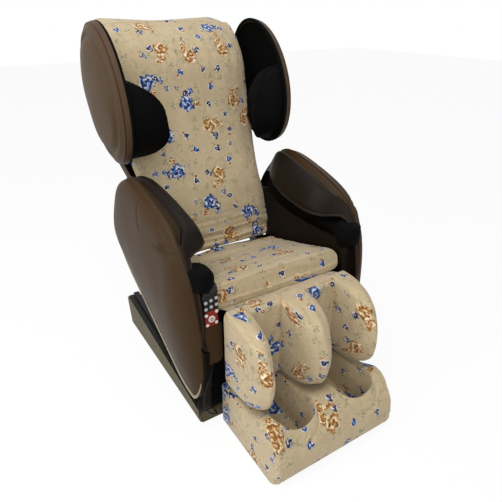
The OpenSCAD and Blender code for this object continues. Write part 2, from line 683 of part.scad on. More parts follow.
module wing_shell() {
    inside = [for (r = dish_radii) wing_ring(r, wing_inside(r))];
    rim = [wing_ring(1, wing_rim_x - rim_lip), wing_ring(1, wing_rim_x + 6)];
    outside = [for (r = [0.985, 0.93, 0.8, 0.6, 0.36, 0.12]) wing_ring(r, wing_outside(r))];
    color(leather) on_back() skin(concat(inside, rim, outside));
}

// Black lining of the wing's dish, swelling into the shoulder air cushion with a sewn fold.
lobe_n = -248;
lobe_t = 590;
lobe_half_n = 112;
lobe_half_t = 205;
lobe_rise = 92;

function lobe(p) = let(q = pow((p[0] - lobe_n) / lobe_half_n, 2) + pow((p[1] - lobe_t) / lobe_half_t, 2))
    lobe_rise * pow(max(0, 1 - q), 0.6) - 9 * max(0, 1 - pow((p[0] - lobe_n - 20) / 14, 2)) * smooth((1 - q) * 3);

module wing_airbag() {
    last = len(dish_radii) - 1;
    front = [for (r = dish_radii) [for (k = [0 : wing_sides - 1]) let(p = wing_place(r * 0.985, 360 * k / wing_sides))
        [wing_inside(r) - 4 - lobe(p), p[0], p[1]]]];
    back = [for (i = [last : -1 : 0]) wing_ring(dish_radii[i] * 0.985, wing_inside(dish_radii[i]) - soft_gap)];
    color(black_cloth) on_back() skin(concat(front, back));
}

// ---- calf and foot rest ----

calf_back_y = leg_hinge_y - 13;
calf_low_z = 180;

module leg_frame() {
    slide_x = 120;
    color(black_steel) placed() {
        translate([-210, calf_back_y + soft_gap, calf_low_z + 20]) cube([420, 4, calf_top_z - calf_low_z - 78]);
        translate([-182, calf_back_y + soft_gap, calf_low_z + 90]) cube([364, 4, calf_top_z - calf_low_z - 120]);
        both_sides() {
            difference() {
                union() {
                    translate([0, leg_hinge_y, leg_hinge_z]) shaft(leg_lug_x - 12, leg_lug_x - 4, 12);
                    translate([leg_lug_x - 12, calf_back_y + 3, leg_hinge_z - 30]) cube([8, 14, 30]);
                }
                translate([0, leg_hinge_y, leg_hinge_z]) shaft(leg_lug_x - 13, leg_lug_x - 3, hinge_pin_r + run_gap);
            }
            translate([slide_x, calf_back_y + 16, 236]) difference() {
                translate([-11, -12, 0]) cube([22, 24, 150]);
                translate([0, 1, -1]) cylinder(h = 152, r = 8 + run_gap);
            }
        }
        for (x = [-mount_x - 14, -mount_x + 8])
            across(x, x + 6)
                strap([leg_hinge_y, leg_hinge_z] + leg_pin, 11, [calf_back_y + 10, leg_hinge_z + leg_pin[1] - 12], 34);
        translate([0, leg_hinge_y + leg_pin[0], leg_hinge_z + leg_pin[1]]) shaft(-mount_x - 9, -mount_x + 9, eye_pin_r);
    }
}

// Front of a calf lobe by height.
lobe_face = [[calf_low_z - 4, 160], [calf_low_z + 14, 128], [calf_low_z + 48, 94], [calf_low_z + 104, 76],
    [calf_low_z + 170, 80], [calf_low_z + 235, 103], [calf_top_z - 22, 138], [calf_top_z - 4, 172],
    [calf_top_z, 200]];

module calf_lobe(x0, x1) {
    stations = [for (k = [0 : 10]) mix(calf_low_z - 3, calf_top_z, smooth(k / 10) * 0.5 + k / 20)];
    skin([for (i = [0 : 10]) let(z = stations[i], end = i == 0 || i == 10 ? 9 : 0)
        [for (p = oval(x0 + end, x1 - end, along(lobe_face, z) + end, 2 * calf_back_y - along(lobe_face, z), 3, 18))
            [p[0], min(p[1], calf_back_y), z]]]);
}

module calf_pad() {
    lobe_w = calf_half_w - channel_w - 45;
    color(cover_cloth) placed() {
        skin([for (s = [[calf_low_z + 4, 12], [calf_low_z + 16, 2], [calf_low_z + 120, 0], [calf_top_z - 40, 0], [calf_top_z - 12, 3], [calf_top_z - 4, 14]])
            [for (p = oval(-calf_half_w + 6 + s[1], calf_half_w - 6 - s[1], calf_back_y - 34 + s[1], calf_back_y + 34 - s[1], 4, 16))
                [p[0], min(p[1], calf_back_y), s[0]]]]);
        calf_lobe(-45, 45);
        both_sides() calf_lobe(calf_half_w - lobe_w, calf_half_w);
    }
}

foot_deck = 160;
// Side profiles of the foot box, point for point: through a wall or the divider, and through a well.
foot_wall = [[6, foot_gap], [-10, 28], [-15, 62], [-10, 108], [6, 146], [26, 174], [46, 188], [56, 190],
    [68, 191], [80, 191], [96, 188], [118, 179], [150, 168], [220, 164], [246, 161], [256, foot_deck],
    [262, foot_deck], [268, foot_deck], [foot_l - 8, foot_deck], [foot_l, foot_deck - 8], [foot_l, foot_gap]];
foot_well = [[6, foot_gap], [-10, 28], [-15, 62], [-11, 96], [0, 114], [16, 124], [36, 129], [46, 127],
    [54, 110], [61, 62], [72, 47], [100, 44], [150, 44], [220, 44], [244, 46], [256, 62], [262, 130],
    [270, foot_deck], [foot_l - 8, foot_deck], [foot_l, foot_deck - 8], [foot_l, foot_gap]];

module foot_box() {
    half = foot_w / 2;
    near = well_x - well_w / 2;
    far = well_x + well_w / 2;
    // Each station: distance from the middle, share of the well profile, rounding at the end.
    stations = [[0, 0, 0], [near - 16, 0, 0], [near - 4, 0.06, 0], [near + 4, 0.4, 0], [near + 9, 0.82, 0],
        [near + 18, 1, 0], [well_x, 1, 0], [far - 18, 1, 0], [far - 9, 0.82, 0], [far - 4, 0.4, 0],
        [far + 4, 0.06, 0], [far + 14, 0, 0], [half - 14, 0, 0], [half - 5, 0, 5], [half, 0, 15]];
    all_x = concat([for (i = [len(stations) - 1 : -1 : 1]) [-stations[i][0], stations[i][1], stations[i][2]]],
        stations);
    color(cover_cloth) placed() translate([0, foot_y, 0]) skin([for (s = all_x) [for (i = [0 : len(foot_wall) - 1])
        let(p = mix(foot_wall[i], foot_well[i], s[1]))
        [s[0], mix(p[0], foot_l / 2, s[2] / 160), mix(p[1], foot_gap, s[2] / 170)]]]);
}

module foot_slide_rods() {
    color(grey_steel) placed() both_sides() {
        translate([120, calf_back_y + 17, foot_deck]) cylinder(h = 220, r = 8);
        translate([120, calf_back_y + 17, foot_deck]) cylinder(h = 6, r = 12);
    }
}

// ---- actuators ----

module actuator(x, eye, angle, body_l) {
    color([0.16, 0.16, 0.17]) placed() translate([x, eye[0], eye[1]]) rotate([angle, 0, 0]) difference() {
        union() {
            shaft(-10, 10, 12);
            translate([-9, 4, -11]) cube([18, body_l - 4, 22]);
            translate([0, 12, -26]) rotate([-90, 0, 0]) cylinder(h = 70, r = 17);
        }
        shaft(-11, 11, eye_pin_r + run_gap);
        translate([0, 20, 0]) rotate([-90, 0, 0]) cylinder(h = body_l, r = 6 + run_gap);
    }
}

module actuator_rod(x, eye, angle, reach, start, bore) {
    color(grey_steel) placed() translate([x, eye[0], eye[1]]) rotate([angle, 0, 0]) {
        translate([0, start, 0]) rotate([-90, 0, 0]) cylinder(h = reach - start - bore - 1, r = 6);
        difference() {
            translate([0, reach, 0]) shaft(-7, 7, bore + 5);
            translate([0, reach, 0]) shaft(-8, 8, bore);
        }
    }
}

module back_actuator() actuator(mount_x, back_eye, back_act_angle, 190);
module back_actuator_rod() actuator_rod(mount_x, back_eye, back_act_angle, back_act_l, 104, eye_pin_r + back_rise + 0.6);
module leg_actuator() actuator(-mount_x, leg_eye, leg_act_angle, 170);
module leg_actuator_rod() actuator_rod(-mount_x, leg_eye, leg_act_angle, leg_act_l, 26, eye_pin_r + leg_rise + 0.8);

// ---- remote ----

pocket_wall = 2.5;
remote_x = -264;
remote_y = arm_y + 38 - pocket_wall - free_gap - remote_t / 2;
remote_z = 322;

module remote_pocket() {
    w = remote_w + 2 * pocket_wall + 2 * free_gap;
    t = remote_t + 2 * pocket_wall + 2 * free_gap;
    low = remote_z - 44;
    h = 140;
    back = remote_y + t / 2;
    color(dark_leather) placed() difference() {
        translate([remote_x - w / 2, back - t, low]) rotate([90, 0, 0]) mirror([0, 0, 1]) linear_extrude(t)
            hull() {
                for (x = [18, w - 18])
                    translate([x, 18]) circle(r = 18);
                translate([0, h - 2]) square([w, 2]);
            }
        translate([remote_x - remote_w / 2 - free_gap, remote_y - remote_t / 2 - free_gap, remote_z])
            cube([remote_w + 2 * free_gap, remote_t + 2 * free_gap, 200]);
    }
}

button_r = 5.2;
button_depth = 5;

// Places of the buttons on the face: across, up the face, and radius.
button_places = [
    [-17, 182, button_r], [0, 186, button_r], [17, 190, button_r],
    [-17, 160, button_r], [0, 164, button_r], [17, 168, button_r],
    [-17, 138, button_r], [17, 144, button_r], [0, 122, 11],
    [-15, 104, button_r], [15, 106, button_r]
];

module remote_body() {
    r = 8;
    color(black_plastic) placed() translate([remote_x, remote_y, remote_z + 0.3]) difference() {
        union() {
            hull() {
                for (x = [-1, 1])
                    translate([x * (remote_w / 2 - r), 0, 0]) cylinder(h = 206, r = r);
                translate([-remote_w / 2 + r, -remote_t / 2, 0]) cube([remote_w - 2 * r, remote_t, 206]);
            }
            across(-remote_w / 2 + 4, remote_w / 2 - 4) polygon([[-remote_t / 2, 206], [remote_t / 2 - 1, 206],
                [remote_t / 2 - 1, remote_l - 4], [remote_t / 2 - 5, remote_l], [-remote_t / 2 + 5, remote_l - 10], [-remote_t / 2, 210]]);
        }
        for (b = button_places)
            translate([b[0], -remote_t / 2 - 1, b[1]]) rotate([-90, 0, 0])
                cylinder(h = button_depth + 1, r = b[2] + free_gap);
    }
}

module button(i) {
    b = button_places[i - 1];
    proud = 1.8;
    spring_room = 1.6;
    tint = i <= 6 ? [0.72, 0.74, 0.76] : [0.93, 0.93, 0.92];
    color(tint) placed() translate([remote_x + b[0], remote_y - remote_t / 2 - proud, remote_z + 0.3 + b[1]])
        rotate([-90, 0, 0]) {
            cylinder(h = proud + button_depth - spring_room, r = b[2]);
            translate([0, 0, -0.6]) cylinder(h = 0.6, r1 = b[2] - 1, r2 = b[2]);
        }
}

// The remote's cord: out of the pocket's foot, round in a loose curve and into the base.
cord_end = [-250, rail_y + 4, 38];
cord_route = [[-264, 300, 278], [-264, 300, 262], [-271, 292, 246], [-286, 280, 230], [-302, 271, 212],
    [-312, 267, 190], [-316, 266, 166], [-314, 267, 142], [-306, 270, 118], [-294, 276, 96], [-280, 286, 76],
    [-266, 294, 60], [-256, 303, 48], [-250, 312, 40], [-250, 320, 38], [-250, 330, 38]];

module remote_cord() {
    sides = 8;
    n = len(cord_route);
    rings = [for (i = [0 : n - 1]) let(
        d = knot(cord_route, i + 1) - knot(cord_route, i - 1), f = d / norm(d),
        a = cross(f, [0.3, 1, 0.2]), s = a / norm(a), up = cross(f, s))
        [for (k = [0 : sides - 1]) let(q = 360 * k / sides)
            cord_route[i] + cord_d / 2 * (cos(q) * s + sin(q) * up)]];
    color([0.06, 0.06, 0.06]) placed() skin(rings);
}

base_frame();
base_rail();  // left_base_rail
mirror([1, 0, 0]) base_rail();  // right_base_rail
base_front_bar();
base_rear_cover();
rubber_feet();
power_inlet();
rocker_switch();
control_box();
air_pump();
transport_wheel();  // left_transport_wheel
mirror([1, 0, 0]) transport_wheel();  // right_transport_wheel
seat_frame();
seat_cushion();
arm_shell();  // left_arm_shell
mirror([1, 0, 0]) arm_shell();  // right_arm_shell
side_wall();  // left_side_wall
mirror([1, 0, 0]) side_wall();  // right_side_wall
arm_airbag();  // left_arm_airbag
mirror([1, 0, 0]) arm_airbag();  // right_arm_airbag
arm_trim_strips();
back_frame();
back_shell();
back_pad();
wing_shell();  // left_wing_shell
mirror([1, 0, 0]) wing_shell();  // right_wing_shell
wing_airbag();  // left_wing_airbag
mirror([1, 0, 0]) wing_airbag();  // right_wing_airbag
guide_rails();
lead_screw();
massage_carriage();
massage_arm();  // left_massage_arm
mirror([1, 0, 0]) massage_arm();  // right_massage_arm
massage_roller(rocker_l);  // upper_left_roller
massage_roller(-rocker_l);  // lower_left_roller
mirror([1, 0, 0]) massage_roller(rocker_l);  // upper_right_roller
mirror([1, 0, 0]) massage_roller(-rocker_l);  // lower_right_roller
back_actuator();
back_actuator_rod();
leg_actuator();
leg_actuator_rod();
leg_frame();
calf_pad();
foot_box();
foot_slide_rods();
remote_pocket();
remote_body();
remote_cord();
button(1);  // button_1
button(2);  // button_2
button(3);  // button_3
button(4);  // button_4
button(5);  // button_5
button(6);  // button_6
button(7);  // button_7
button(8);  // button_8
button(9);  // button_9
button(10);  // button_10
button(11);  // button_11
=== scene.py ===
import json
import math

import bpy
import numpy as np
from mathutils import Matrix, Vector


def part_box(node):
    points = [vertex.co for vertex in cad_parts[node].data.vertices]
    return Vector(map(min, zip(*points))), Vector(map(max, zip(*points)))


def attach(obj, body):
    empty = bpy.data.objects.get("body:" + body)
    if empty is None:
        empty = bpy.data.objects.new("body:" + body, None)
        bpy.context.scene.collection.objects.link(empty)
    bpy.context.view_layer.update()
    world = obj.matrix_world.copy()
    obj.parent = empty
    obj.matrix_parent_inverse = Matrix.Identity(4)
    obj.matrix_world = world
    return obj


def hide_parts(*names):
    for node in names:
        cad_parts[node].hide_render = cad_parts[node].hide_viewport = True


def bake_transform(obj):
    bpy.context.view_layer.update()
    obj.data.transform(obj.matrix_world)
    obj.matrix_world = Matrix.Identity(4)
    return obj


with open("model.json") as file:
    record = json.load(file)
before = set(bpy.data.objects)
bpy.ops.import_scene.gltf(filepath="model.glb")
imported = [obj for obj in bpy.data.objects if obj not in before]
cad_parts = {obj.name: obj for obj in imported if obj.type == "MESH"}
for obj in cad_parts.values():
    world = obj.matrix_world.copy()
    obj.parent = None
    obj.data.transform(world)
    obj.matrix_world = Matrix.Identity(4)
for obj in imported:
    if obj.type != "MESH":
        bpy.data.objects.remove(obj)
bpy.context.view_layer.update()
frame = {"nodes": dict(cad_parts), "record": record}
nodes = frame["nodes"]
joints = {j["name"]: j for j in frame["record"]["behaviour"]["joints"]}
print("frame loaded:", len(nodes), "parts")

# Places worked out from the frame, in metres.
backHinge = joints["back_recline"]["pos_m"]
toeBulge = 0.015  # the foot box's front swells this far past the line of the toes
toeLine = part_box("foot_box")[0][1] + toeBulge
backLean = math.radians(25)
seatTilt = math.radians(15)
seatFront = (toeLine + 0.334, 0.430)  # y and z of the seat's front edge

# standing height, a little to the sitter's right; angles in degrees, lens and sensor in millimetres
cameraPlace = {"x": -0.760, "fromToe": -0.712, "z": 1.25, "pitch": 62.4, "turn": -32.2, "lens": 33.35,
               "sensor": 36}


# An object for some data, linked into the scene.
def addObject(name, data):
    obj = bpy.data.objects.new(name, data)
    bpy.context.scene.collection.objects.link(obj)
    return obj


# Placed from the line of the toes, tilted up from straight down by the pitch, then turned about the vertical.
def makeCamera(s):
    data = bpy.data.cameras.new("camera")
    cam = addObject("camera", data)
    cam.location = (s["x"], toeLine + s["fromToe"], s["z"])
    cam.rotation_euler = (math.radians(s["pitch"]), 0, math.radians(s["turn"]))
    data.lens = s["lens"]
    data.sensor_width = s["sensor"]
    bpy.context.scene.camera = cam


makeCamera(cameraPlace)
print("camera ready")


# Catmull-Rom curve through the points, sampled at count even parameters.
def catmull(points, count):
    p = np.asarray(points, float)
    u = np.linspace(0, len(p) - 1, count)
    i = np.minimum(u.astype(int), len(p) - 2)
    t = (u - i).reshape((-1,) + (1,) * (p.ndim - 1))
    a, b = p[np.maximum(i - 1, 0)], p[i]
    c, d = p[i + 1], p[np.minimum(i + 2, len(p) - 1)]
    return 0.5 * (2 * b + (c - a) * t + (2 * a - 5 * b + 4 * c - d) * t**2 + (3 * b - a - 3 * c + d) * t**3)


# Value of a smooth curve of (place, value) points at x.
def along(points, x, fine=40):
    c = catmull(points, fine * len(points))
    return np.interp(x, c[:, 0], c[:, 1])


# 3 t squared - 2 t cubed: from 0 to 1 with level ends.
def smooth(t):
    t = np.clip(t, 0, 1)
    return t * t * (3 - 2 * t)


# The power of the size, with the sign kept.
def signedPower(v, p):
    return np.sign(v) * np.abs(v) ** p


# A closed ring of points, resampled to count points at even distances.
def evenRing(ring, count):
    closed = np.vstack([ring, ring[:1]])
    step = np.linalg.norm(np.diff(closed, axis=0), axis=1)
    s = np.concatenate([[0], np.cumsum(step)])
    want = np.linspace(0, s[-1], count, endpoint=False)
    return np.stack([np.interp(want, s, closed[:, k]) for k in range(closed.shape[1])], axis=1)


# Superellipse between two corners, points at even distances; it starts at the middle of the y0 side, or
# with start=90 at the middle of the y1 side.
def ovalRing(x0, x1, y0, y1, power, count=96, start=-90, fine=720):
    a = np.radians(np.linspace(start, start + 360, fine, endpoint=False))
    x = x0 + (x1 - x0) * (0.5 + 0.5 * signedPower(np.cos(a), 2 / power))
    y = y0 + (y1 - y0) * (0.5 + 0.5 * signedPower(np.sin(a), 2 / power))
    return evenRing(np.stack([x, y], axis=1), count)


# An object from points, faces and, for cloth, a UV value of each point.
def meshFrom(name, points, faces, uv=None):
    mesh = bpy.data.meshes.new(name)
    faces = faces if isinstance(faces, list) else faces.tolist()
    mesh.from_pydata(np.asarray(points, float).tolist(), [], faces)
    if uv is not None:
        layer = mesh.uv_layers.new(name="cloth")
        corner = np.empty(len(mesh.loops), np.int32)
        mesh.loops.foreach_get("vertex_index", corner)
        layer.data.foreach_set("uv", np.asarray(uv, np.float32)[corner].ravel())
    mesh.polygons.foreach_set("use_smooth", np.ones(len(mesh.polygons), bool))
    mesh.update()
    return addObject(name, mesh)


# Quads over a grid of points, wrapping round the columns if wrap.
def gridFaces(rows, cols, wrap):
    i, j = np.meshgrid(np.arange(rows - 1), np.arange(cols if wrap else cols - 1), indexing="ij")
    i, j = i.ravel(), j.ravel()
    k = (j + 1) % cols
    return np.stack([i * cols + j, i * cols + k, (i + 1) * cols + k, (i + 1) * cols + j], axis=1)


# A closed skin over rings of equal length, its ends closed through shrinking rings onto one point. The UV
# map is in metres: length round the ring from its middle column, length along the loft from its middle
# row; on the end caps it goes on flat from the ring's middle column.
def closedLoft(name, rings, capSteps=5, flip=False, uvShift=(0, 0)):
    rings = np.asarray(rings, float)
    rows, cols = rings.shape[:2]
    spine, home = cols // 2, rows // 2

    girths = np.zeros((rows, cols))
    girths[:, 1:] = np.cumsum(np.linalg.norm(np.diff(rings, axis=1), axis=2), axis=1)
    girths -= girths[:, spine:spine + 1]
    lengths = np.zeros((rows, cols))
    lengths[1:] = np.cumsum(np.linalg.norm(np.diff(rings, axis=0), axis=2), axis=0)
    lengths -= lengths[home:home + 1]

    def cap(row, sign):
        ring = rings[row]
        middle = ring.mean(axis=0)
        across = ring[spine + 2] - ring[spine - 2]
        across /= np.linalg.norm(across)
        inward = middle - ring[spine]
        inward -= across * (inward @ across)
        inward /= max(np.linalg.norm(inward), 1e-9)
        shares = np.linspace(1, 0, capSteps + 1)[1:-1]
        loops = middle + (ring - middle) * shares[:, None, None]
        every = np.vstack([loops.reshape(-1, 3), middle])
        away = every - ring[spine]
        return loops, middle, np.stack([away @ across, lengths[row, spine] + sign * (away @ inward)], axis=1)

    head, headPoint, headFlat = cap(0, -1)
    tail, tailPoint, tailFlat = cap(-1, 1)
    everyRing = np.concatenate([head[::-1], rings, tail])
    total = len(everyRing)
    quads = gridFaces(total, cols, True)
    vertices = np.vstack([everyRing.reshape(-1, 3), headPoint, tailPoint])
    j = np.arange(cols)
    k = (j + 1) % cols
    first = np.stack([np.full(cols, total * cols), k, j], axis=1)
    last = np.stack([np.full(cols, total * cols + 1), (total - 1) * cols + j, (total - 1) * cols + k], axis=1)
    body = np.stack([girths, lengths], axis=2).reshape(-1, 2)
    headRings = headFlat[:-1].reshape(capSteps - 1, cols, 2)[::-1].reshape(-1, 2)
    uv = np.vstack([headRings, body, tailFlat[:-1], headFlat[-1:], tailFlat[-1:]])
    obj = meshFrom(name, vertices, quads.tolist() + first.tolist() + last.tolist(), uv + np.asarray(uvShift))
    if flip:
        obj.data.flip_normals()
    return obj


# A closed wall between two grids of points of the same shape, its four edges closed by strips.
def wallLoft(name, outer, inner):
    outer, inner = np.asarray(outer, float), np.asarray(inner, float)
    rows, cols = outer.shape[:2]
    n = rows * cols
    front = gridFaces(rows, cols, False)
    back = front[:, ::-1] + n
    edge = np.concatenate([np.arange(cols - 1), np.arange(rows - 1) * cols + cols - 1,
                           n - 1 - np.arange(cols - 1), (rows - 1 - np.arange(rows - 1)) * cols])
    follow = np.roll(edge, -1)
    strips = np.stack([follow, edge, edge + n, follow + n], axis=1)
    return meshFrom(name, np.vstack([outer.reshape(-1, 3), inner.reshape(-1, 3)]),
                    np.vstack([front, back, strips]))


# One object from several.
def joined(name, parts):
    with bpy.context.temp_override(active_object=parts[0], object=parts[0], selected_objects=parts,
                                   selected_editable_objects=parts):
        bpy.ops.object.join()
    parts[0].name = name
    return parts[0]


# Distance of each point from a smooth curve, and the share of its length at the nearest place.
def nearCurve(p, curvePoints, count=80):
    c = catmull(curvePoints, count)
    d = np.linalg.norm(p[:, None, :] - c[None], axis=2)
    best = d.argmin(axis=1)
    return d[np.arange(len(p)), best], best / (count - 1)


# Share of a crease's depth at each point: a bell across the curve, fading out at its two ends.
def crease(p, curvePoints, width, fade=0.18):
    d, s = nearCurve(p, curvePoints)
    ends = smooth(s / fade) * smooth((1 - s) / fade)
    return np.exp(-(d / width) ** 2) * ends


# Several creases at once: each is its depth, its width, the share of its length over which it fades, and its
# line.
def creases(p, rows):
    return sum(depth * crease(p, line, width, fade) for depth, width, fade, line in rows)


# A round tube along a path of points, with turning-free frames; the ends are closed.
def tube(name, path, radius, sides=12):
    p = np.asarray(path, float)
    d = np.gradient(p, axis=0)
    d /= np.linalg.norm(d, axis=1, keepdims=True)
    a = np.cross(d, [0.31, 0.93, 0.2])  # a direction that none of the paths follows
    a /= np.linalg.norm(a, axis=1, keepdims=True)
    b = np.cross(d, a)
    q = np.linspace(0, 2 * math.pi, sides, endpoint=False)
    c, s = np.cos(q)[None, :, None], np.sin(q)[None, :, None]
    rings = p[:, None] + radius * (c * a[:, None] + s * b[:, None])
    return closedLoft(name, rings, capSteps=2)


# All vertices' places, or with kind "normal" their normals.
def points(obj, kind="co"):
    out = np.empty(len(obj.data.vertices) * 3)
    obj.data.vertices.foreach_get(kind, out)
    return out.reshape(-1, 3)


# Puts every vertex at its new place.
def setPoints(obj, p):
    obj.data.vertices.foreach_set("co", np.asarray(p, float).ravel())
    obj.data.update()


# From a local frame (across, back, up) at a place (y, z) leaning back by an angle, to the row frame.
def toward(points3, place, lean):
    x, y, t = points3[..., 0], points3[..., 1], points3[..., 2]
    return np.stack([x, place[0] + y * math.cos(lean) + t * math.sin(lean),
                     place[1] - y * math.sin(lean) + t * math.cos(lean)], axis=-1)


# From the back's frame: its origin is the hinge.
def onBack(p):
    return toward(np.asarray(p, float), (backHinge[1], backHinge[2]), backLean)


# From the seat's frame: its origin is the front edge.
def onSeat(p):
    return toward(np.asarray(p, float), seatFront, seatTilt)


# From upright places whose y counts from the line of the toes.
def fromToe(p):
    p = np.array(p, float)
    p[..., 1] += toeLine
    return p


# A copy on the other side, its faces turned back to point outwards.
def mirrored(obj, name):
    other = addObject(name, obj.data.copy())
    setPoints(other, points(other) * [-1, 1, 1])
    other.data.flip_normals()
    return other


# A smooth wandering value over points: a few sine waves of about one size in fixed directions.
def waves(p, seed, size, count=6, stretch=(1, 1, 1)):
    rng = np.random.default_rng(seed)
    total = np.zeros(len(p))
    p = p / np.asarray(stretch, float)
    for k in range(count):
        d = rng.normal(size=3)
        d *= 2 * math.pi / (size * rng.uniform(0.7, 1.5)) / np.linalg.norm(d)
        total += np.sin(p @ d + rng.uniform(0, 6.28))
    return total / math.sqrt(count)


# how the covers stretch in the simulation
clothSim = {"frames": 18, "quality": 5, "mass": 0.3, "tension": 12, "shear": 5, "bending": 0.5}


# Blows the piece up a little with a cloth simulation and keeps the result, each point moved by no more than
# cap.
def puff(obj, pressure, cap, held):
    before = points(obj)
    group = obj.vertex_groups.new(name="held")
    group.add(np.nonzero(held)[0].tolist(), 1.0, "REPLACE")
    cloth = obj.modifiers.new("cloth", "CLOTH")
    s = cloth.settings
    s.quality = clothSim["quality"]
    s.mass = clothSim["mass"]
    s.tension_stiffness = s.compression_stiffness = clothSim["tension"]
    s.shear_stiffness = clothSim["shear"]
    s.bending_stiffness = clothSim["bending"]
    s.use_pressure = True
    s.uniform_pressure_force = pressure
    s.effector_weights.gravity = 0
    s.vertex_group_mass = "held"
    cloth.collision_settings.use_collision = False
    scene = bpy.context.scene
    for f in range(1, clothSim["frames"] + 1):
        scene.frame_set(f)
    shown = obj.evaluated_get(bpy.context.evaluated_depsgraph_get())
    after = np.empty(len(before) * 3)
    shown.to_mesh().vertices.foreach_get("co", after)
    shown.to_mesh_clear()
    obj.modifiers.remove(cloth)
    obj.vertex_groups.remove(group)
    scene.frame_set(1)
    move = after.reshape(-1, 3) - before
    far = np.linalg.norm(move, axis=1, keepdims=True)
    setPoints(obj, before + move * np.minimum(1, cap / np.maximum(far, 1e-9)))


# Material, the body that the piece rides on, and the CAD parts that it stands for.
def finishPiece(obj, body, material, replaced=()):
    obj.data.materials.clear()
    obj.data.materials.append(material)
    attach(obj, body)
    if replaced:
        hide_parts(*replaced)


# Finishes a piece and its copy on the other side; node is the CAD part's name without its side.
def finishSides(obj, body, material, node=None):
    sides = (obj, mirrored(obj, obj.name.replace("left", "right")))
    for one, side in zip(sides, ("left_", "right_")):
        finishPiece(one, body, material, [side + node] if node else ())
    return sides


# places in millimetres: x, y from the line of the toes, z
cord = {"diameter": 0.005, "samples": 90, "points": [
    (-264, 300, 278), (-264, 300, 262), (-271, 292, 246), (-286, 280, 230), (-302, 271, 212),
    (-312, 267, 190), (-316, 266, 166), (-314, 267, 142), (-306, 270, 118), (-294, 276, 96), (-280, 286, 76),
    (-266, 294, 60), (-256, 303, 48), (-250, 312, 40), (-250, 320, 38), (-250, 330, 38)]}


# A round tube along a smooth curve through the points; its length is the sum of the curve's steps.
def makeCord(s):
    path = fromToe(catmull(np.array(s["points"]) / 1000, s["samples"]))
    obj = tube("remoteCord", path, s["diameter"] / 2)
    length = float(np.linalg.norm(np.diff(path, axis=0), axis=1).sum())
    return obj, path, length


remoteCord, cordPath, cordLength = makeCord(cord)
print("cord:", round(cordLength, 3), "m")


# sRGB hex to linear RGBA, each channel c / 12.92, or ((c + 0.055) / 1.055) to the power 2.4 above 0.04045.
def hexColour(text):
    c = np.array([int(text[i:i + 2], 16) for i in (1, 3, 5)]) / 255
    lin = np.where(c <= 0.04045, c / 12.92, ((c + 0.055) / 1.055) ** 2.4)
    return (*map(float, lin), 1.0)


# Fills a node's inputs, by name or number: a value and a hex colour are set, a socket is linked, and of a
# node its first live output.
def feed(tree, node, inputs):
    for key, value in inputs.items() if isinstance(inputs, dict) else enumerate(inputs):
        if isinstance(value, bpy.types.Node):
            value = next(socket for socket in value.outputs if socket.enabled)
        if isinstance(value, bpy.types.NodeSocket):
            tree.links.new(value, node.inputs[key])
        else:
            node.inputs[key].default_value = hexColour(value) if isinstance(value, str) else value


# Adds a shader node with its settings and links; after a colon in its kind comes its operation, and stops are
# the places and colours of a ramp.
def addNode(tree, kind, inputs=(), stops=(), **settings):
    kind, *operation = kind.split(":")
    node = tree.nodes.new("ShaderNode" + kind)
    if operation:
        node.operation = operation[0]
    for key, value in settings.items():
        setattr(node, key, value)
    feed(tree, node, inputs)
    for k, (place, colour) in enumerate(stops):
        step = node.color_ramp.elements[k] if k < 2 else node.color_ramp.elements.new(place)
        step.position = place
        step.color = hexColour(colour) if isinstance(colour, str) else (colour, colour, colour, 1)
    return node


# A new material with values set on its shader's own sockets.
def newMaterial(name, **shader):
    mat = bpy.data.materials.new(name)
    mat.use_nodes = True
    tree = mat.node_tree
    bsdf = tree.nodes["Principled BSDF"]
    for key, value in shader.items():
        bsdf.inputs[key.replace("_", " ")].default_value = value
    return mat, tree, bsdf


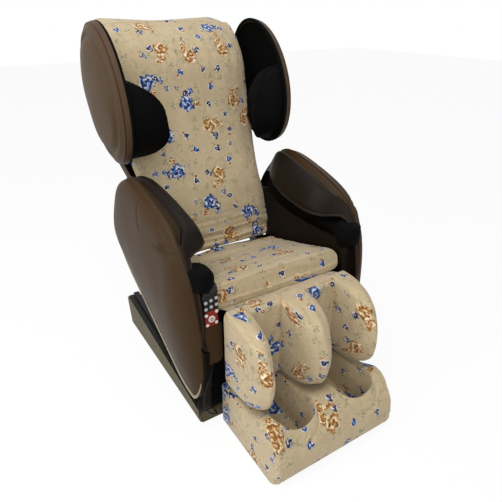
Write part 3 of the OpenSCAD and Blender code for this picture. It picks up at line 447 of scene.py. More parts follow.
# Printed stretch jersey, a matt knit with soft fuzz. Our own chintz: clusters of roses, buds between them,
# sprigs of leaves and faint twigs. Lengths are in metres. A flower is its place across and along, its radius,
# and its palette in either kind of cluster; a leaf is its turn, the distance of its middle, its half length
# and its half width.
chintz = {
    "cloth": "#c8b592", "shade": "#b5a281", "shadeScale": 14.0, "driftScale": 95.0, "drift": 0.009,
    "palettes": {
        "blue": [(0.0, "#141a38"), (0.26, "#1f3a78"), (0.48, "#3c62a4"), (0.62, "#9aabc9"),
                 (0.76, "#e4e2e0")],
        "ochre": [(0.0, "#5f3a18"), (0.28, "#96642c"), (0.48, "#bb8c50"), (0.64, "#dcc69d"),
                  (0.80, "#eee4cf")],
        "ink": [(0.0, "#0e1022"), (0.34, "#1b1f42"), (0.50, "#3f5083"), (0.62, "#c9c8cf"),
                (0.80, "#ece8e2")]},
    "petal": {"depth": 0.09, "ruffle": 0.9, "rings": 8.5, "curl": 0.24, "cloud": 1.1, "fade": 0.16,
              "dark": -0.22,
              "edge": (1.03, 0.95)},
    "cluster": {"cell": 0.150, "reach": (0.0462, 0.0759), "petals": 5.0, "share": 0.95, "second": 0.52,
                "flowers": [(-0.009, 0.002, 0.0270, "blue", "ochre"), (0.024, 0.010, 0.0150, "ink", "ochre"),
                            (0.042, -0.001, 0.0105, "blue", "ochre"),
                            (0.004, -0.038, 0.0125, "ochre", "ink")]},
    "bud": {"cell": 0.060, "petals": 3.0, "share": 0.52, "second": 0.66,
            "flowers": [(0.0, 0.0, 0.0120, "ink", "blue"), (0.012, -0.012, 0.0065, "ochre", "ochre")]},
    "sprig": {"cell": 0.050, "seed": 2, "colours": ("#67775a", "#838c68"), "strength": 0.85, "share": 0.45,
              "leaves": [(0.0, 0.012, 0.0085, 0.0030), (0.95, 0.010, 0.0075, 0.0028),
                         (-0.85, 0.011, 0.0070, 0.0026), (3.3, 0.013, 0.0060, 0.0020)]},
    "leaf": {"cell": 0.025, "seed": 1, "colours": ("#7e8a6b", "#98805c"), "strength": 0.62, "share": 0.36,
             "leaves": [(0.0, 0.0, 0.0062, 0.0020), (1.9, 0.009, 0.0050, 0.0017)]},
    "leafEdge": 0.0008, "vein": (0.0002, 0.0008, 0.55), "nearFlowers": 0.35,
    "twig": {"cell": 0.040, "colour": "#7f7659", "strength": 0.34, "line": (0.045, 0.015),
             "breaks": (0.53, 0.60),
             "nearFlowers": 0.10},
    "pucker": {"scale": 30.0, "strength": 0.40, "height": 0.006}}


# Voronoi cells of a real size: the place from the cell's middle, turned at random, and the cell's random
# colour.
def printedCells(tree, coords, cell, seed, spread=0.72):
    shifted = addNode(tree, "VectorMath:ADD", [coords, (seed * 3.17, seed * 1.73, 0)])
    cells = addNode(tree, "TexVoronoi", {"Vector": shifted, "Scale": 1 / cell, "Randomness": spread},
                    voronoi_dimensions="2D")
    local = addNode(tree, "VectorMath:SUBTRACT", [shifted, cells.outputs["Position"]])
    dice = addNode(tree, "SeparateColor", [cells.outputs["Color"]]).outputs
    angle = addNode(tree, "Math:MULTIPLY", [dice[2], 6.28])
    return addNode(tree, "VectorRotate", {"Vector": local, "Angle": angle}, rotation_type="Z_AXIS"), dice


# One flower: rings of petals round its middle, drawn by the sine of distance and angle, with a ruffled
# outline.
def flower(tree, local, wander, base, place, petals, chosen, kind):
    s = chintz["petal"]
    x, y, radius, first, second = place
    offset = addNode(tree, "VectorMath:SUBTRACT", [local, (x, y, 0)])
    axes = addNode(tree, "SeparateXYZ", [offset]).outputs
    far = addNode(tree, "VectorMath:LENGTH", [offset])
    angle = addNode(tree, "Math:ARCTAN2", [axes[1], axes[0]])
    lobes = addNode(tree, "Math:SINE", [addNode(tree, "Math:MULTIPLY", [angle, petals])])
    ruffle = addNode(tree, "Math:MULTIPLY_ADD", [lobes, s["depth"], wander])
    shift = addNode(tree, "Math:MULTIPLY_ADD", [ruffle, s["ruffle"], -s["ruffle"] / 2])
    rel = addNode(tree, "Math:MULTIPLY_ADD", [far, 1 / radius, shift])
    inside = addNode(tree, "MapRange", {"Value": rel, "From Min": s["edge"][0], "From Max": s["edge"][1]})
    turn = addNode(tree, "Math:MULTIPLY", [rel, s["rings"]])
    curl = addNode(tree, "Math:SINE", [addNode(tree, "Math:MULTIPLY_ADD", [angle, petals - 3.0, turn])])
    fade = addNode(tree, "Math:MULTIPLY_ADD", [rel, s["fade"], s["dark"]])
    cloud = addNode(tree, "Math:MULTIPLY_ADD", [wander, s["cloud"], fade])
    tone = addNode(tree, "Math:MULTIPLY_ADD", [curl, s["curl"], cloud])
    blooms = [addNode(tree, "ValToRGB", [tone], chintz["palettes"][name]) for name in (first, second)]
    bloom = addNode(tree, "Mix", {0: kind, 6: blooms[0], 7: blooms[1]}, data_type="RGBA")
    mask = addNode(tree, "Math:MULTIPLY", [inside, chosen])
    return addNode(tree, "Mix", {0: mask, 6: base, 7: bloom}, data_type="RGBA")


# A few pointed leaves to a cell, each of two arcs that meet at its tips (half width times 1 - x squared),
# with a paler vein; there are more of them where near is high.
def leafLayer(tree, coords, base, near, s):
    local, dice = printedCells(tree, coords, s["cell"], s["seed"])
    low, high, pale = chintz["vein"]
    every = None
    for turn, away, long, wide in s["leaves"]:
        turned = addNode(tree, "VectorRotate", {"Vector": local, "Angle": turn}, rotation_type="Z_AXIS")
        axes = addNode(tree, "SeparateXYZ", [turned]).outputs
        across = addNode(tree, "Math:ABSOLUTE", [axes[1]])
        x = addNode(tree, "Math:MULTIPLY_ADD", [axes[0], 1 / long, -away / long])
        arc = addNode(tree, "Math:MULTIPLY_ADD", [addNode(tree, "Math:MULTIPLY", [x, x]), -wide, wide])
        edge = addNode(tree, "Math:SUBTRACT", [arc, across])
        inside = addNode(tree, "MapRange", {"Value": edge, "From Min": 0.0, "From Max": chintz["leafEdge"]})
        vein = addNode(tree, "MapRange", {"Value": across, "From Min": low, "From Max": high, "To Min": pale})
        one = addNode(tree, "Math:MULTIPLY", [inside, vein])
        every = one if every is None else addNode(tree, "Math:MAXIMUM", [every, one])
    limit = addNode(tree, "Math:MULTIPLY_ADD", [near, chintz["nearFlowers"], s["share"]])
    chosen = addNode(tree, "Math:LESS_THAN", [dice[1], limit])
    mask = addNode(tree, "Math:MULTIPLY", [addNode(tree, "Math:MULTIPLY", [every, chosen]), s["strength"]])
    green = addNode(tree, "Mix", {0: dice[0], 6: s["colours"][0], 7: s["colours"][1]}, data_type="RGBA")
    return addNode(tree, "Mix", {0: mask, 6: base, 7: green}, data_type="RGBA")


# The print's layers from the cloth up: twigs, leaves, buds between the clusters, and the clusters of roses.
def printedJersey(s):
    mat, tree, bsdf = newMaterial("printed stretch jersey", Roughness=0.88, Specular_IOR_Level=0.25,
                                  Sheen_Weight=0.25, Sheen_Roughness=0.5)
    uv = addNode(tree, "UVMap", uv_map="cloth")
    drift = addNode(tree, "TexNoise", {"Vector": uv, "Scale": s["driftScale"], "Detail": 2.0},
                    noise_dimensions="2D")
    wander = drift.outputs[0]
    moved = addNode(tree, "VectorMath:SUBTRACT", [drift.outputs[1], (0.5, 0.5, 0.5)])
    coords = addNode(tree, "VectorMath:MULTIPLY_ADD", [moved, (s["drift"], s["drift"], 0), uv])
    soft = addNode(tree, "TexNoise", {"Vector": uv, "Scale": s["shadeScale"], "Detail": 2.0},
                   noise_dimensions="2D")
    colour = addNode(tree, "Mix", {0: soft, 6: s["shade"], 7: s["cloth"]}, data_type="RGBA")
    c = s["cluster"]
    cluster, clusterDice = printedCells(tree, coords, c["cell"], 0)
    reach = addNode(tree, "VectorMath:LENGTH", [cluster])
    near = addNode(tree, "MapRange", {"Value": reach, "From Min": c["reach"][1], "From Max": c["reach"][0]})

    # the edges of small cells, broken up by a noise
    t = s["twig"]
    net = addNode(tree, "TexVoronoi", {"Vector": coords, "Scale": 1 / t["cell"]}, voronoi_dimensions="2D",
                  feature="DISTANCE_TO_EDGE")
    line = addNode(tree, "MapRange", {"Value": net, "From Min": t["line"][0], "From Max": t["line"][1]})
    uneven = addNode(tree, "Math:MULTIPLY_ADD", [near, t["nearFlowers"], soft])
    bits = addNode(tree, "MapRange",
                   {"Value": uneven, "From Min": t["breaks"][0], "From Max": t["breaks"][1]})
    mask = addNode(tree, "Math:MULTIPLY", [addNode(tree, "Math:MULTIPLY", [line, bits]), t["strength"]])
    colour = addNode(tree, "Mix", {0: mask, 6: colour, 7: t["colour"]}, data_type="RGBA")

    colour = leafLayer(tree, coords, colour, near, s["sprig"])
    colour = leafLayer(tree, coords, colour, near, s["leaf"])
    b = s["bud"]
    bud, budDice = printedCells(tree, coords, b["cell"], 3)
    away = addNode(tree, "Math:SUBTRACT", [1.0, near])
    chosen = addNode(tree, "Math:MULTIPLY", [addNode(tree, "Math:LESS_THAN", [budDice[1], b["share"]]), away])
    kind = addNode(tree, "Math:GREATER_THAN", [budDice[0], b["second"]])
    for place in b["flowers"]:
        colour = flower(tree, bud, wander, colour, place, b["petals"], chosen, kind)
    chosen = addNode(tree, "Math:LESS_THAN", [clusterDice[1], c["share"]])
    kind = addNode(tree, "Math:GREATER_THAN", [clusterDice[0], c["second"]])
    for place in reversed(c["flowers"]):
        colour = flower(tree, cluster, wander, colour, place, c["petals"], chosen, kind)

    # soft puckers of the loose cover; the knit of 0.3 mm threads is too fine to show
    p = s["pucker"]
    height = addNode(tree, "TexNoise", {"Vector": uv, "Scale": p["scale"], "Detail": 2.0, "Roughness": 0.55},
                     noise_dimensions="2D")
    bump = addNode(tree, "Bump", {"Height": height, "Strength": p["strength"], "Distance": p["height"]})
    feed(tree, bsdf, {"Base Color": colour, "Normal": bump})
    return mat


# Scales are turns to a metre; pebble is the grain's width in metres.
leatherGrain = {"tone": 5.0, "pebble": 0.0026, "worn": 0.10, "gloss": 0.16, "crease": 16.0,
                "pebbleDepth": -0.10,
                "strength": 0.30, "height": 0.004}


# PU-coated leather cloth, embossed: fine pebbles, broad soft creases, worn a little paler on its high spots.
def leatherette(name, light, dark, roughness, wrinkle=0.5):
    s = leatherGrain
    mat, tree, bsdf = newMaterial(name, Specular_IOR_Level=0.13)
    place = addNode(tree, "TexCoord").outputs["Object"]
    broad = addNode(tree, "TexNoise", {"Vector": place, "Scale": s["tone"], "Detail": 4.0, "Roughness": 0.6})
    pebbles = addNode(tree, "TexVoronoi", {"Vector": place, "Scale": 1 / s["pebble"], "Randomness": 0.9},
                      feature="SMOOTH_F1")
    colour = addNode(tree, "Mix", {0: broad, 6: dark, 7: light}, data_type="RGBA")
    spots = addNode(tree, "ValToRGB", [pebbles], [(0.15, 1.0), (0.75, 0.0)])
    worn = addNode(tree, "Math:MULTIPLY", [spots, s["worn"]])
    colour = addNode(tree, "Mix", {0: worn, 6: colour, 7: light}, data_type="RGBA")
    rough = addNode(tree, "Math:MULTIPLY_ADD", [broad, s["gloss"], roughness - s["gloss"] / 2])
    folds = addNode(tree, "TexNoise",
                    {"Vector": place, "Scale": s["crease"], "Detail": 3.0, "Distortion": 0.6})
    height = addNode(tree, "Math:MULTIPLY_ADD",
                     [pebbles, s["pebbleDepth"], addNode(tree, "Math:MULTIPLY", [folds, wrinkle])])
    bump = addNode(tree, "Bump", {"Height": height, "Strength": s["strength"], "Distance": s["height"]})
    feed(tree, bsdf, {"Base Color": colour, "Roughness": rough, "Normal": bump})
    return mat


# Warp-knitted polyester spacer cloth: black, matt, with rows of small holes 3 mm apart.
def airMesh(hole, knit, dust):
    mat, tree, bsdf = newMaterial("black spacer cloth", Roughness=0.9, Specular_IOR_Level=0.07)
    place = addNode(tree, "TexCoord").outputs["Object"]
    holes = addNode(tree, "TexVoronoi", {"Vector": place, "Scale": 320.0, "Randomness": 0.25})
    broad = addNode(tree, "TexNoise", {"Vector": place, "Scale": 9.0, "Detail": 3.0})
    colour = addNode(tree, "Mix", {0: holes, 6: hole, 7: knit}, data_type="RGBA")
    dusty = addNode(tree, "Math:MULTIPLY", [broad, 0.5])
    colour = addNode(tree, "Mix", {0: dusty, 6: colour, 7: dust}, data_type="RGBA")
    soft = addNode(tree, "TexNoise", {"Vector": place, "Scale": 22.0, "Detail": 2.0})
    height = addNode(tree, "Math:MULTIPLY_ADD", [holes, 0.12, soft])
    bump = addNode(tree, "Bump", {"Height": height, "Strength": 0.3, "Distance": 0.004})
    feed(tree, bsdf, {"Base Color": colour, "Normal": bump})
    return mat


# Moulded, painted or drawn surface: a fine grain, grain turns to a metre, and slow changes of tone and gloss.
def moulded(name, colour, darker, roughness, grain=600.0, metallic=0.0, coat=0.0, strength=0.12, gloss=0.14):
    mat, tree, bsdf = newMaterial(name, Metallic=metallic, Coat_Weight=coat, Specular_IOR_Level=0.28)
    place = addNode(tree, "TexCoord").outputs["Object"]
    broad = addNode(tree, "TexNoise", {"Vector": place, "Scale": 7.0, "Detail": 4.0})
    fine = addNode(tree, "TexNoise", {"Vector": place, "Scale": grain, "Detail": 1.0})
    tone = addNode(tree, "Mix", {0: broad, 6: darker, 7: colour}, data_type="RGBA")
    rough = addNode(tree, "Math:MULTIPLY_ADD", [broad, gloss, roughness - gloss / 2])
    bump = addNode(tree, "Bump", {"Height": fine, "Strength": strength, "Distance": 0.0006})
    feed(tree, bsdf, {"Base Color": tone, "Roughness": rough, "Normal": bump})
    return mat


# Remote: glossy black ABS, its lower face printed red along a slanted line; the dial is a white ring with a
# red middle.
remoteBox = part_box("remote_body")
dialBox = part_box("button_9")
remote = {"black": "#0c0c0d", "red": "#8c2320", "white": "#e4e2dd", "redTop": remoteBox[0][2] + 0.150,
          "slant": 0.12,
          "middleX": -0.264, "front": remoteBox[0][1] + 0.0012, "ring": 0.0052, "spot": 0.0022, "marks": 8.0,
          "dial": tuple((low + high) / 2 for low, high in zip(*dialBox))}


# Red where height less slant times x is below a line, on what faces forward; black elsewhere.
def remoteFace(s):
    mat, tree, bsdf = newMaterial("gloss black and red ABS", Roughness=0.32, Specular_IOR_Level=0.35)
    axes = addNode(tree, "SeparateXYZ", [addNode(tree, "TexCoord").outputs["Object"]]).outputs
    line = addNode(tree, "Math:MULTIPLY_ADD", [axes[0], -s["slant"], axes[2]])
    low = addNode(tree, "Math:LESS_THAN", [line, s["redTop"] - s["slant"] * s["middleX"]])
    face = addNode(tree, "Math:LESS_THAN", [axes[1], s["front"]])
    printed = addNode(tree, "Math:MULTIPLY", [low, face])
    colour = addNode(tree, "Mix", {0: printed, 6: s["black"], 7: s["red"]}, data_type="RGBA")
    feed(tree, bsdf, {"Base Color": colour})
    return mat


# White ring round a red middle with small marks, drawn by distance and angle from the dial's axis.
def dialFace(s):
    mat, tree, bsdf = newMaterial("white and red dial ABS", Roughness=0.36)
    place = addNode(tree, "TexCoord").outputs["Object"]
    axes = addNode(tree, "SeparateXYZ", [addNode(tree, "VectorMath:SUBTRACT", [place, s["dial"]])]).outputs
    squares = [addNode(tree, "Math:MULTIPLY", [axis, axis]) for axis in (axes[0], axes[2])]
    far = addNode(tree, "Math:SQRT", [addNode(tree, "Math:ADD", squares)])
    middle = addNode(tree, "Math:LESS_THAN", [far, s["ring"]])
    spot = addNode(tree, "Math:LESS_THAN", [far, s["spot"]])
    angle = addNode(tree, "Math:ARCTAN2", [axes[2], axes[0]])
    turn = addNode(tree, "Math:SINE", [addNode(tree, "Math:MULTIPLY", [angle, s["marks"]])])
    notch = addNode(tree, "Math:MULTIPLY", [addNode(tree, "Math:GREATER_THAN", [turn, 0.55]),
                                            addNode(tree, "Math:GREATER_THAN", [far, s["ring"] * 1.35])])
    marked = addNode(tree, "Math:MAXIMUM", [middle, addNode(tree, "Math:MULTIPLY", [notch, 0.5])])
    red = addNode(tree, "Math:SUBTRACT", [marked, spot])
    colour = addNode(tree, "Mix", {0: red, 6: s["white"], 7: s["red"]}, data_type="RGBA")
    feed(tree, bsdf, {"Base Color": colour})
    return mat


jersey = printedJersey(chintz)
brownLeather = leatherette("brown leatherette", "#43301c", "#30210e", 0.50)
# the wing shells are the same brown leatherette; this paler copy is painted light, for the stronger light
# that falls on them
paintedLightWingLeather = leatherette("paler brown leatherette", "#54422f", "#3e3020", 0.50)
hoodLeather = leatherette("dark brown leatherette", "#1b120a", "#0f0a05", 0.52)
pipingLeather = leatherette("red brown piping leatherette", "#4d2a1c", "#2f1a12", 0.42, wrinkle=0.1)
edgeLeather = leatherette("edge piping leatherette", "#2a1c12", "#1d140c", 0.45, wrinkle=0.1)
spacer = airMesh("#020202", "#080808", "#0c0b0b")
olive = moulded("olive ABS moulding", "#544a2b", "#463e24", 0.54)
champagne = moulded("champagne painted ABS", "#9a8c70", "#857860", 0.34, coat=0.3)
blackSteel = moulded("black powder-coated steel", "#121213", "#0c0c0d", 0.46, 420.0)
blackPlastic = moulded("textured black ABS", "#161617", "#0f0f10", 0.5, 900.0)
glossBlack = remoteFace(remote)
greyBox = moulded("grey enclosure ABS", "#6f7173", "#626466", 0.55)
brightSteel = moulded("drawn bright steel", "#b3b5b8", "#9fa1a5", 0.3, 900.0, metallic=1.0)
ivory = moulded("ivory acetal", "#d8d2c0", "#cbc4b0", 0.4)
rubber = moulded("black rubber", "#131313", "#0d0d0d", 0.72, 700.0)
silverKeys = moulded("silver painted keys", "#b9bbbd", "#a8aaad", 0.33, 300.0, coat=0.3, strength=0.03)
whiteKeys = moulded("white keys", "#e9e7e2", "#dedbd4", 0.34, 300.0, coat=0.2, strength=0.03)
dialPlastic = dialFace(remote)
redFace = moulded("red ABS", "#8f1f1c", "#7c1716", 0.35, 300.0, coat=0.2, strength=0.03)
print("materials ready")

solidFinishes = {
    blackSteel: ["base_frame", "seat_frame", "back_frame", "leg_frame"],
    olive: ["left_base_rail", "right_base_rail", "base_front_bar"],
    blackPlastic: ["base_rear_cover", "power_inlet", "massage_carriage", "back_actuator", "leg_actuator"],
    greyBox: ["control_box", "air_pump"],
    rubber: ["rubber_feet", "left_transport_wheel", "right_transport_wheel"],
    champagne: ["arm_trim_strips"],
    brightSteel: ["guide_rails", "lead_screw", "back_actuator_rod", "leg_actuator_rod", "foot_slide_rods"],
    ivory: ["left_massage_arm", "right_massage_arm"] + [n for n in nodes if n.endswith("_roller")],
    redFace: ["rocker_switch"],
    glossBlack: ["remote_body"],
    brownLeather: ["left_arm_shell", "right_arm_shell", "left_wing_shell", "right_wing_shell", "back_shell",
                   "remote_pocket"],
    hoodLeather: ["left_side_wall", "right_side_wall"],
    spacer: ["left_arm_airbag", "right_arm_airbag", "left_wing_airbag", "right_wing_airbag"],
    silverKeys: ["button_%d" % i for i in range(1, 7)],
    whiteKeys: ["button_7", "button_8", "button_10", "button_11"],
    dialPlastic: ["button_9"],
}
for material, names in solidFinishes.items():
    for name in names:
        nodes[name].data.materials.clear()
        nodes[name].data.materials.append(material)

# the rails' top flange is part of the black frame
for name in ("left_base_rail", "right_base_rail"):
    mesh = nodes[name].data
    mesh.materials.append(blackSteel)
    mesh.polygons.foreach_set("material_index", [int(face.normal.z > 0.9) for face in mesh.polygons])

finishPiece(remoteCord, "chair", rubber, ["remote_cord"])


# Cushion under its loose cover. Stations are the distance behind the front edge, the lower and upper height
# and the half width, in millimetres. Each set of ripples is where it starts, the length over which it comes
# in, its height, seed, size, number of waves and stretch.
seat = {"power": 5, "soft": 0.0003, "rows": 14, "cols": 200, "crown": 0.005, "fill": 0.85,
        "pressure": 3.0, "puffed": 0.004, "channels": (0.277, 0.352), "channelDepth": 0.0075,
        "channelWidth": 0.0055,
        "between": 0.0035, "frontRipple": 0.0010,
        "ripples": [(0.02, 0.05, 0.0011, 11, 0.030, 7, (5.0, 1.0, 1.0)),
                    (0.20, 0.1, 0.0009, 12, 0.017, 7, (4.0, 1.0, 1.0)),
                    (0.335, 0.04, 0.0034, 14, 0.026, 6, (7.0, 1.0, 1.0))],
        "pull": [(0.0022, 0.006, 0.18, [(-0.20, 0.055), (-0.05, 0.040), (0.12, 0.050), (0.23, 0.075)])],
        "stations": [(-18, 22, 62, 246), (-15, 8, 78, 252), (-6, 1, 86, 256), (12, 0, 90, 258),
                     (60, 0, 91, 258), (130, 0, 90, 258), (200, 0, 89, 258), (262, 0, 87, 258),
                     (310, 0, 86.5, 258), (382, 0, 84, 258), (400, 0, 82, 257.5), (420, 2, 76, 254),
                     (428, 12, 62, 248)]}


# Superellipse rings across the seat, station by station from the front roll to the rear.
def makeSeat(s):
    st = catmull(s["stations"], s["rows"] * (len(s["stations"]) - 1) + 1) / 1000
    rings = []
    for v, low, top, hw in st:
        r = ovalRing(-hw, hw, max(s["soft"], low), top, s["power"], s["cols"])
        rise = np.where(r[:, 1] > 0.6 * top, s["crown"] * (1 - (r[:, 0] / hw) ** 2), 0)
        rings.append(np.stack([r[:, 0], np.full(len(r), v), r[:, 1] + rise], axis=1))
    obj = closedLoft("seatCushion", np.array(rings), capSteps=7, uvShift=(0.31, 0.47))
    puff(obj, s["pressure"], s["puffed"], held=points(obj)[:, 2] < 0.03)
    p = points(obj)
    up = smooth((p[:, 2] - 0.055) / 0.02)
    wander = waves(p, 3, 0.16, 4) * 0.0025
    for v0 in s["channels"]:
        p[:, 2] -= up * s["channelDepth"] * np.exp(-((p[:, 1] - v0 - wander) / s["channelWidth"]) ** 2)
    between = np.clip((p[:, 1] - s["channels"][0]) / (s["channels"][1] - s["channels"][0]), 0, 1)
    p[:, 2] += up * s["between"] * np.sin(math.pi * between) ** 2
    # long low ripples across the seat, finer ones towards the rear, and cross wrinkles where the cover meets
    # the back
    for start, over, height, seed, size, count, stretch in s["ripples"]:
        p[:, 2] += up * smooth((p[:, 1] - start) / over) * height * waves(p, seed, size, count, stretch)
    front = smooth((0.004 - p[:, 1]) / 0.012)
    p[:, 1] -= front * s["frontRipple"] * waves(p, 13, 0.05, 5, (2.5, 1.0, 1.0))
    p[:, 2] -= up * creases(p[:, :2], s["pull"])  # one long pull fold behind the front crest
    setPoints(obj, onSeat(p))
    finishPiece(obj, "chair", jersey, ["seat_cushion"])


makeSeat(seat)
print("seat ready")


# Back pad. Sides are height and half width, face is height and depth to the front, in millimetres.
back = {"length": 0.928, "shellTop": 0.882, "padBack": 0.035, "topBack": 0.044, "crownBack": 0.014,
        "low": 0.012,
        "crownDip": 0.014, "cols": 220, "power": 4, "pressure": 3.0, "puffed": 0.005, "fill": 0.85,
        "gathers": (0.0032, 21, 0.022, 7, (6.0, 1.0, 1.0)), "dents": (0.0016, 22, 0.13, 6, (1.0, 1.0, 1.4)),
        "crownDents": (0.0012, 23, 0.05, 6, (1.0, 1.0, 2.5)),
        "footFold": (0.010, 0.007, 0.05, [(-0.25, 0.055), (-0.08, 0.062), (0.1, 0.060), (0.25, 0.052)]),
        "sideFold": (0.003, 0.02, 0.18, [(0.262, 0.64), (0.235, 0.52), (0.215, 0.40), (0.212, 0.28)]),
        "sides": [(10, 228), (70, 245), (160, 243), (270, 240), (370, 252), (480, 268.6), (620, 278),
                  (760, 286), (850, 285), (900, 270), (928, 226)],
        "face": [(10, 92), (60, 104), (160, 125), (260, 133), (400, 121), (520, 119), (620, 130), (700, 143),
                 (770, 135), (830, 108), (880, 71), (915, 33), (928, 14)]}


# Superellipse rings from the seat to the crown; the two shoulder humps rise over a dip in the middle.
def makeBackPad(s):
    sides, face = np.array(s["sides"], float) / 1000, np.array(s["face"], float) / 1000
    t = np.concatenate([np.linspace(s["low"], 0.04, 12, endpoint=False),
                        np.linspace(0.04, 0.80, 120, endpoint=False),
                        np.linspace(0.80, s["shellTop"], 22, endpoint=False),
                        np.linspace(s["shellTop"], s["length"], 26)])
    hw, front = along(sides, t), along(face, t)
    span = (t - s["shellTop"]) / (s["length"] - s["shellTop"])
    rear = np.where(span > 0.02, -s["topBack"] + (s["topBack"] - s["crownBack"]) * np.clip(span, 0, 1),
                    s["padBack"])
    first = smooth((0.017 - t) / 0.005)
    hw, front = hw - 0.008 * first, front - 0.005 * first
    rings = []
    for tt, h, f, r in zip(t, hw, front, rear):
        ring = ovalRing(-h, h, -f, -r, s["power"], s["cols"], start=90)
        dip = s["crownDip"] * smooth((tt - s["shellTop"] - 0.004) / (s["length"] - s["shellTop"] - 0.004))
        rings.append(np.stack([ring[:, 0], ring[:, 1], tt - dip * (1 - (ring[:, 0] / h) ** 2)], axis=1))
    obj = closedLoft("backPad", np.array(rings), capSteps=4, flip=True, uvShift=(0.02, 0.13))
    puff(obj, s["pressure"], s["puffed"], held=points(obj)[:, 1] > -0.06)
    p = points(obj)
    out = smooth((-p[:, 1] - 0.05) / 0.04)
    x, t = p[:, 0], p[:, 2]
    # the cover is drawn back along the sides and gathers into creases above the seat
    near, high = smooth((0.20 - t) / 0.14), smooth((t - 0.60) / 0.1)
    for share, (height, *pattern) in ((-near, s["gathers"]), (1, s["dents"]), (high, s["crownDents"])):
        p[:, 1] -= out * share * height * waves(p, *pattern)
    depth, width, fade, line = s["footFold"]
    p[:, 1] += out * depth * crease(np.stack([x, t], 1), line, width, fade)
    depth, width, fade, line = s["sideFold"]
    for side in (-1, 1):
        p[:, 1] += out * depth * crease(np.stack([x, t], 1), np.array(line) * [side, 1], width, fade)
    setPoints(obj, onBack(p))
    finishPiece(obj, "backrest", jersey, ["back_pad"])


makeBackPad(back)
print("back pad ready")


# A wing is an oval dish in the back's frame: n is out of the back, t along it, r the share of the way to the
# rim. Folds and seams are depth, width, fade and line.
wing = {"n": -0.160, "t": 0.610, "halfT": 0.238, "halfN": 0.172, "bulge": 0.066, "wall": 0.010, "edge": 0.955,
        "turn": math.radians(8), "rim": 0.296, "lip": 0.0042, "skin": 0.007, "sides": 176, "fill": 0.7,
        "rimSeam": {"r": 0.935, "width": 0.012, "depth": 0.0022},
        "furrow": {"r": 0.80, "width": 0.042, "depth": 0.0105},
        "dents": (31, 0.12, 5), "dent": 0.0014, "lining": 0.985, "gap": 0.004,
        "piping": {"r": 0.972, "x": 0.0205, "radius": 0.0026},
        "binding": {"r": 0.984, "x": -0.0020, "radius": 0.0056},
        "lobe": {"n": -0.235, "t": 0.499, "halfN": 0.115, "halfT": 0.143, "rise": 0.150, "round": 1.25,
                 "soft": 0.0018},
        "folds": [(0.006, 0.0045, 0.06, [(-0.10, 0.675), (-0.17, 0.690), (-0.23, 0.700), (-0.290, 0.700)]),
                  (0.021, 0.011, 0.18, [(-0.190, 0.632), (-0.222, 0.590), (-0.232, 0.515), (-0.220, 0.440),
                                        (-0.200, 0.390)]),
                  (0.018, 0.009, 0.18, [(-0.262, 0.645), (-0.292, 0.590), (-0.300, 0.515), (-0.288, 0.440),
                                        (-0.262, 0.385)]),
                  (0.009, 0.008, 0.18, [(-0.150, 0.600), (-0.160, 0.520), (-0.155, 0.430)])]}


# The oval's place at radius r and angle a: half width r sin a, half height r cos a, turned.
def wingPlace(s, r, a):
    y, z = s["halfN"] * r * np.sin(a), s["halfT"] * r * np.cos(a)
    c, q = math.cos(s["turn"]), math.sin(s["turn"])
    return s["n"] + y * c + z * q, s["t"] - y * q + z * c


# The inner face: rim + depth (1 - (r / edge) squared) to the power 0.55.
def wingInside(s, r):
    return s["rim"] + (s["bulge"] - s["wall"]) * np.maximum(0, 1 - (r / s["edge"]) ** 2) ** 0.55


# The outer face: half an ellipse on the skin.
def wingOutside(s, r):
    return s["rim"] + s["skin"] + (s["bulge"] - s["skin"]) * np.maximum(0, 1 - r * r) ** 0.5


# One oval to each radius, at its distance x from the middle of the chair.
def wingRings(s, radii, xs):
    a = np.linspace(0, 2 * math.pi, s["sides"], endpoint=False)
    rings = []
    for r, x in zip(radii, xs):
        n, t = wingPlace(s, r, a)
        rings.append(np.stack([np.broadcast_to(x, a.shape), n, t], axis=1))
    return np.array(rings)


# Leather bowl: inner face, a rounded welt at the rim, and the domed outer face.
def makeWingShell(s):
    inner = np.linspace(0.05, s["edge"], 26)
    outer = np.sin(np.linspace(math.radians(86), 0.03, 44))
    q = np.linspace(0, math.pi, 10)[1:-1]
    welt = 0.5 * (s["rim"] - s["lip"] + s["rim"] + 0.006) - 0.5 * (0.006 + s["lip"]) * np.cos(q)
    radii = np.concatenate([inner, 1 + 0.004 * np.sin(q), outer])
    xs = np.concatenate([wingInside(s, inner), welt, wingOutside(s, outer)])
    obj = closedLoft("leftWingShell", wingRings(s, radii, xs), capSteps=2)
    p = points(obj)
    # the outer skin: a sewn seam close to the rim, and slow dents of padding under leather
    y, z = p[:, 1] - s["n"], p[:, 2] - s["t"]
    c, q = math.cos(s["turn"]), math.sin(s["turn"])
    r = np.sqrt(((y * c - z * q) / s["halfN"]) ** 2 + ((y * q + z * c) / s["halfT"]) ** 2)
    outside = smooth((p[:, 0] - wingInside(s, np.minimum(r, 1)) - 0.004) / 0.003)
    seam, furrow = s["rimSeam"], s["furrow"]
    p[:, 0] -= outside * seam["depth"] * np.exp(-((r - seam["r"]) / seam["width"]) ** 2)
    # a drawn furrow round the flat side panel, a soft band between it and the seam
    bend = 0.015 * math.sin(3 * c)
    p[:, 0] -= outside * furrow["depth"] * np.exp(-((r - furrow["r"] - bend) / furrow["width"]) ** 2)
    p[:, 0] += outside * s["dent"] * waves(p, *s["dents"]) * smooth((0.95 - r) / 0.2)
    setPoints(obj, onBack(p))
    return obj


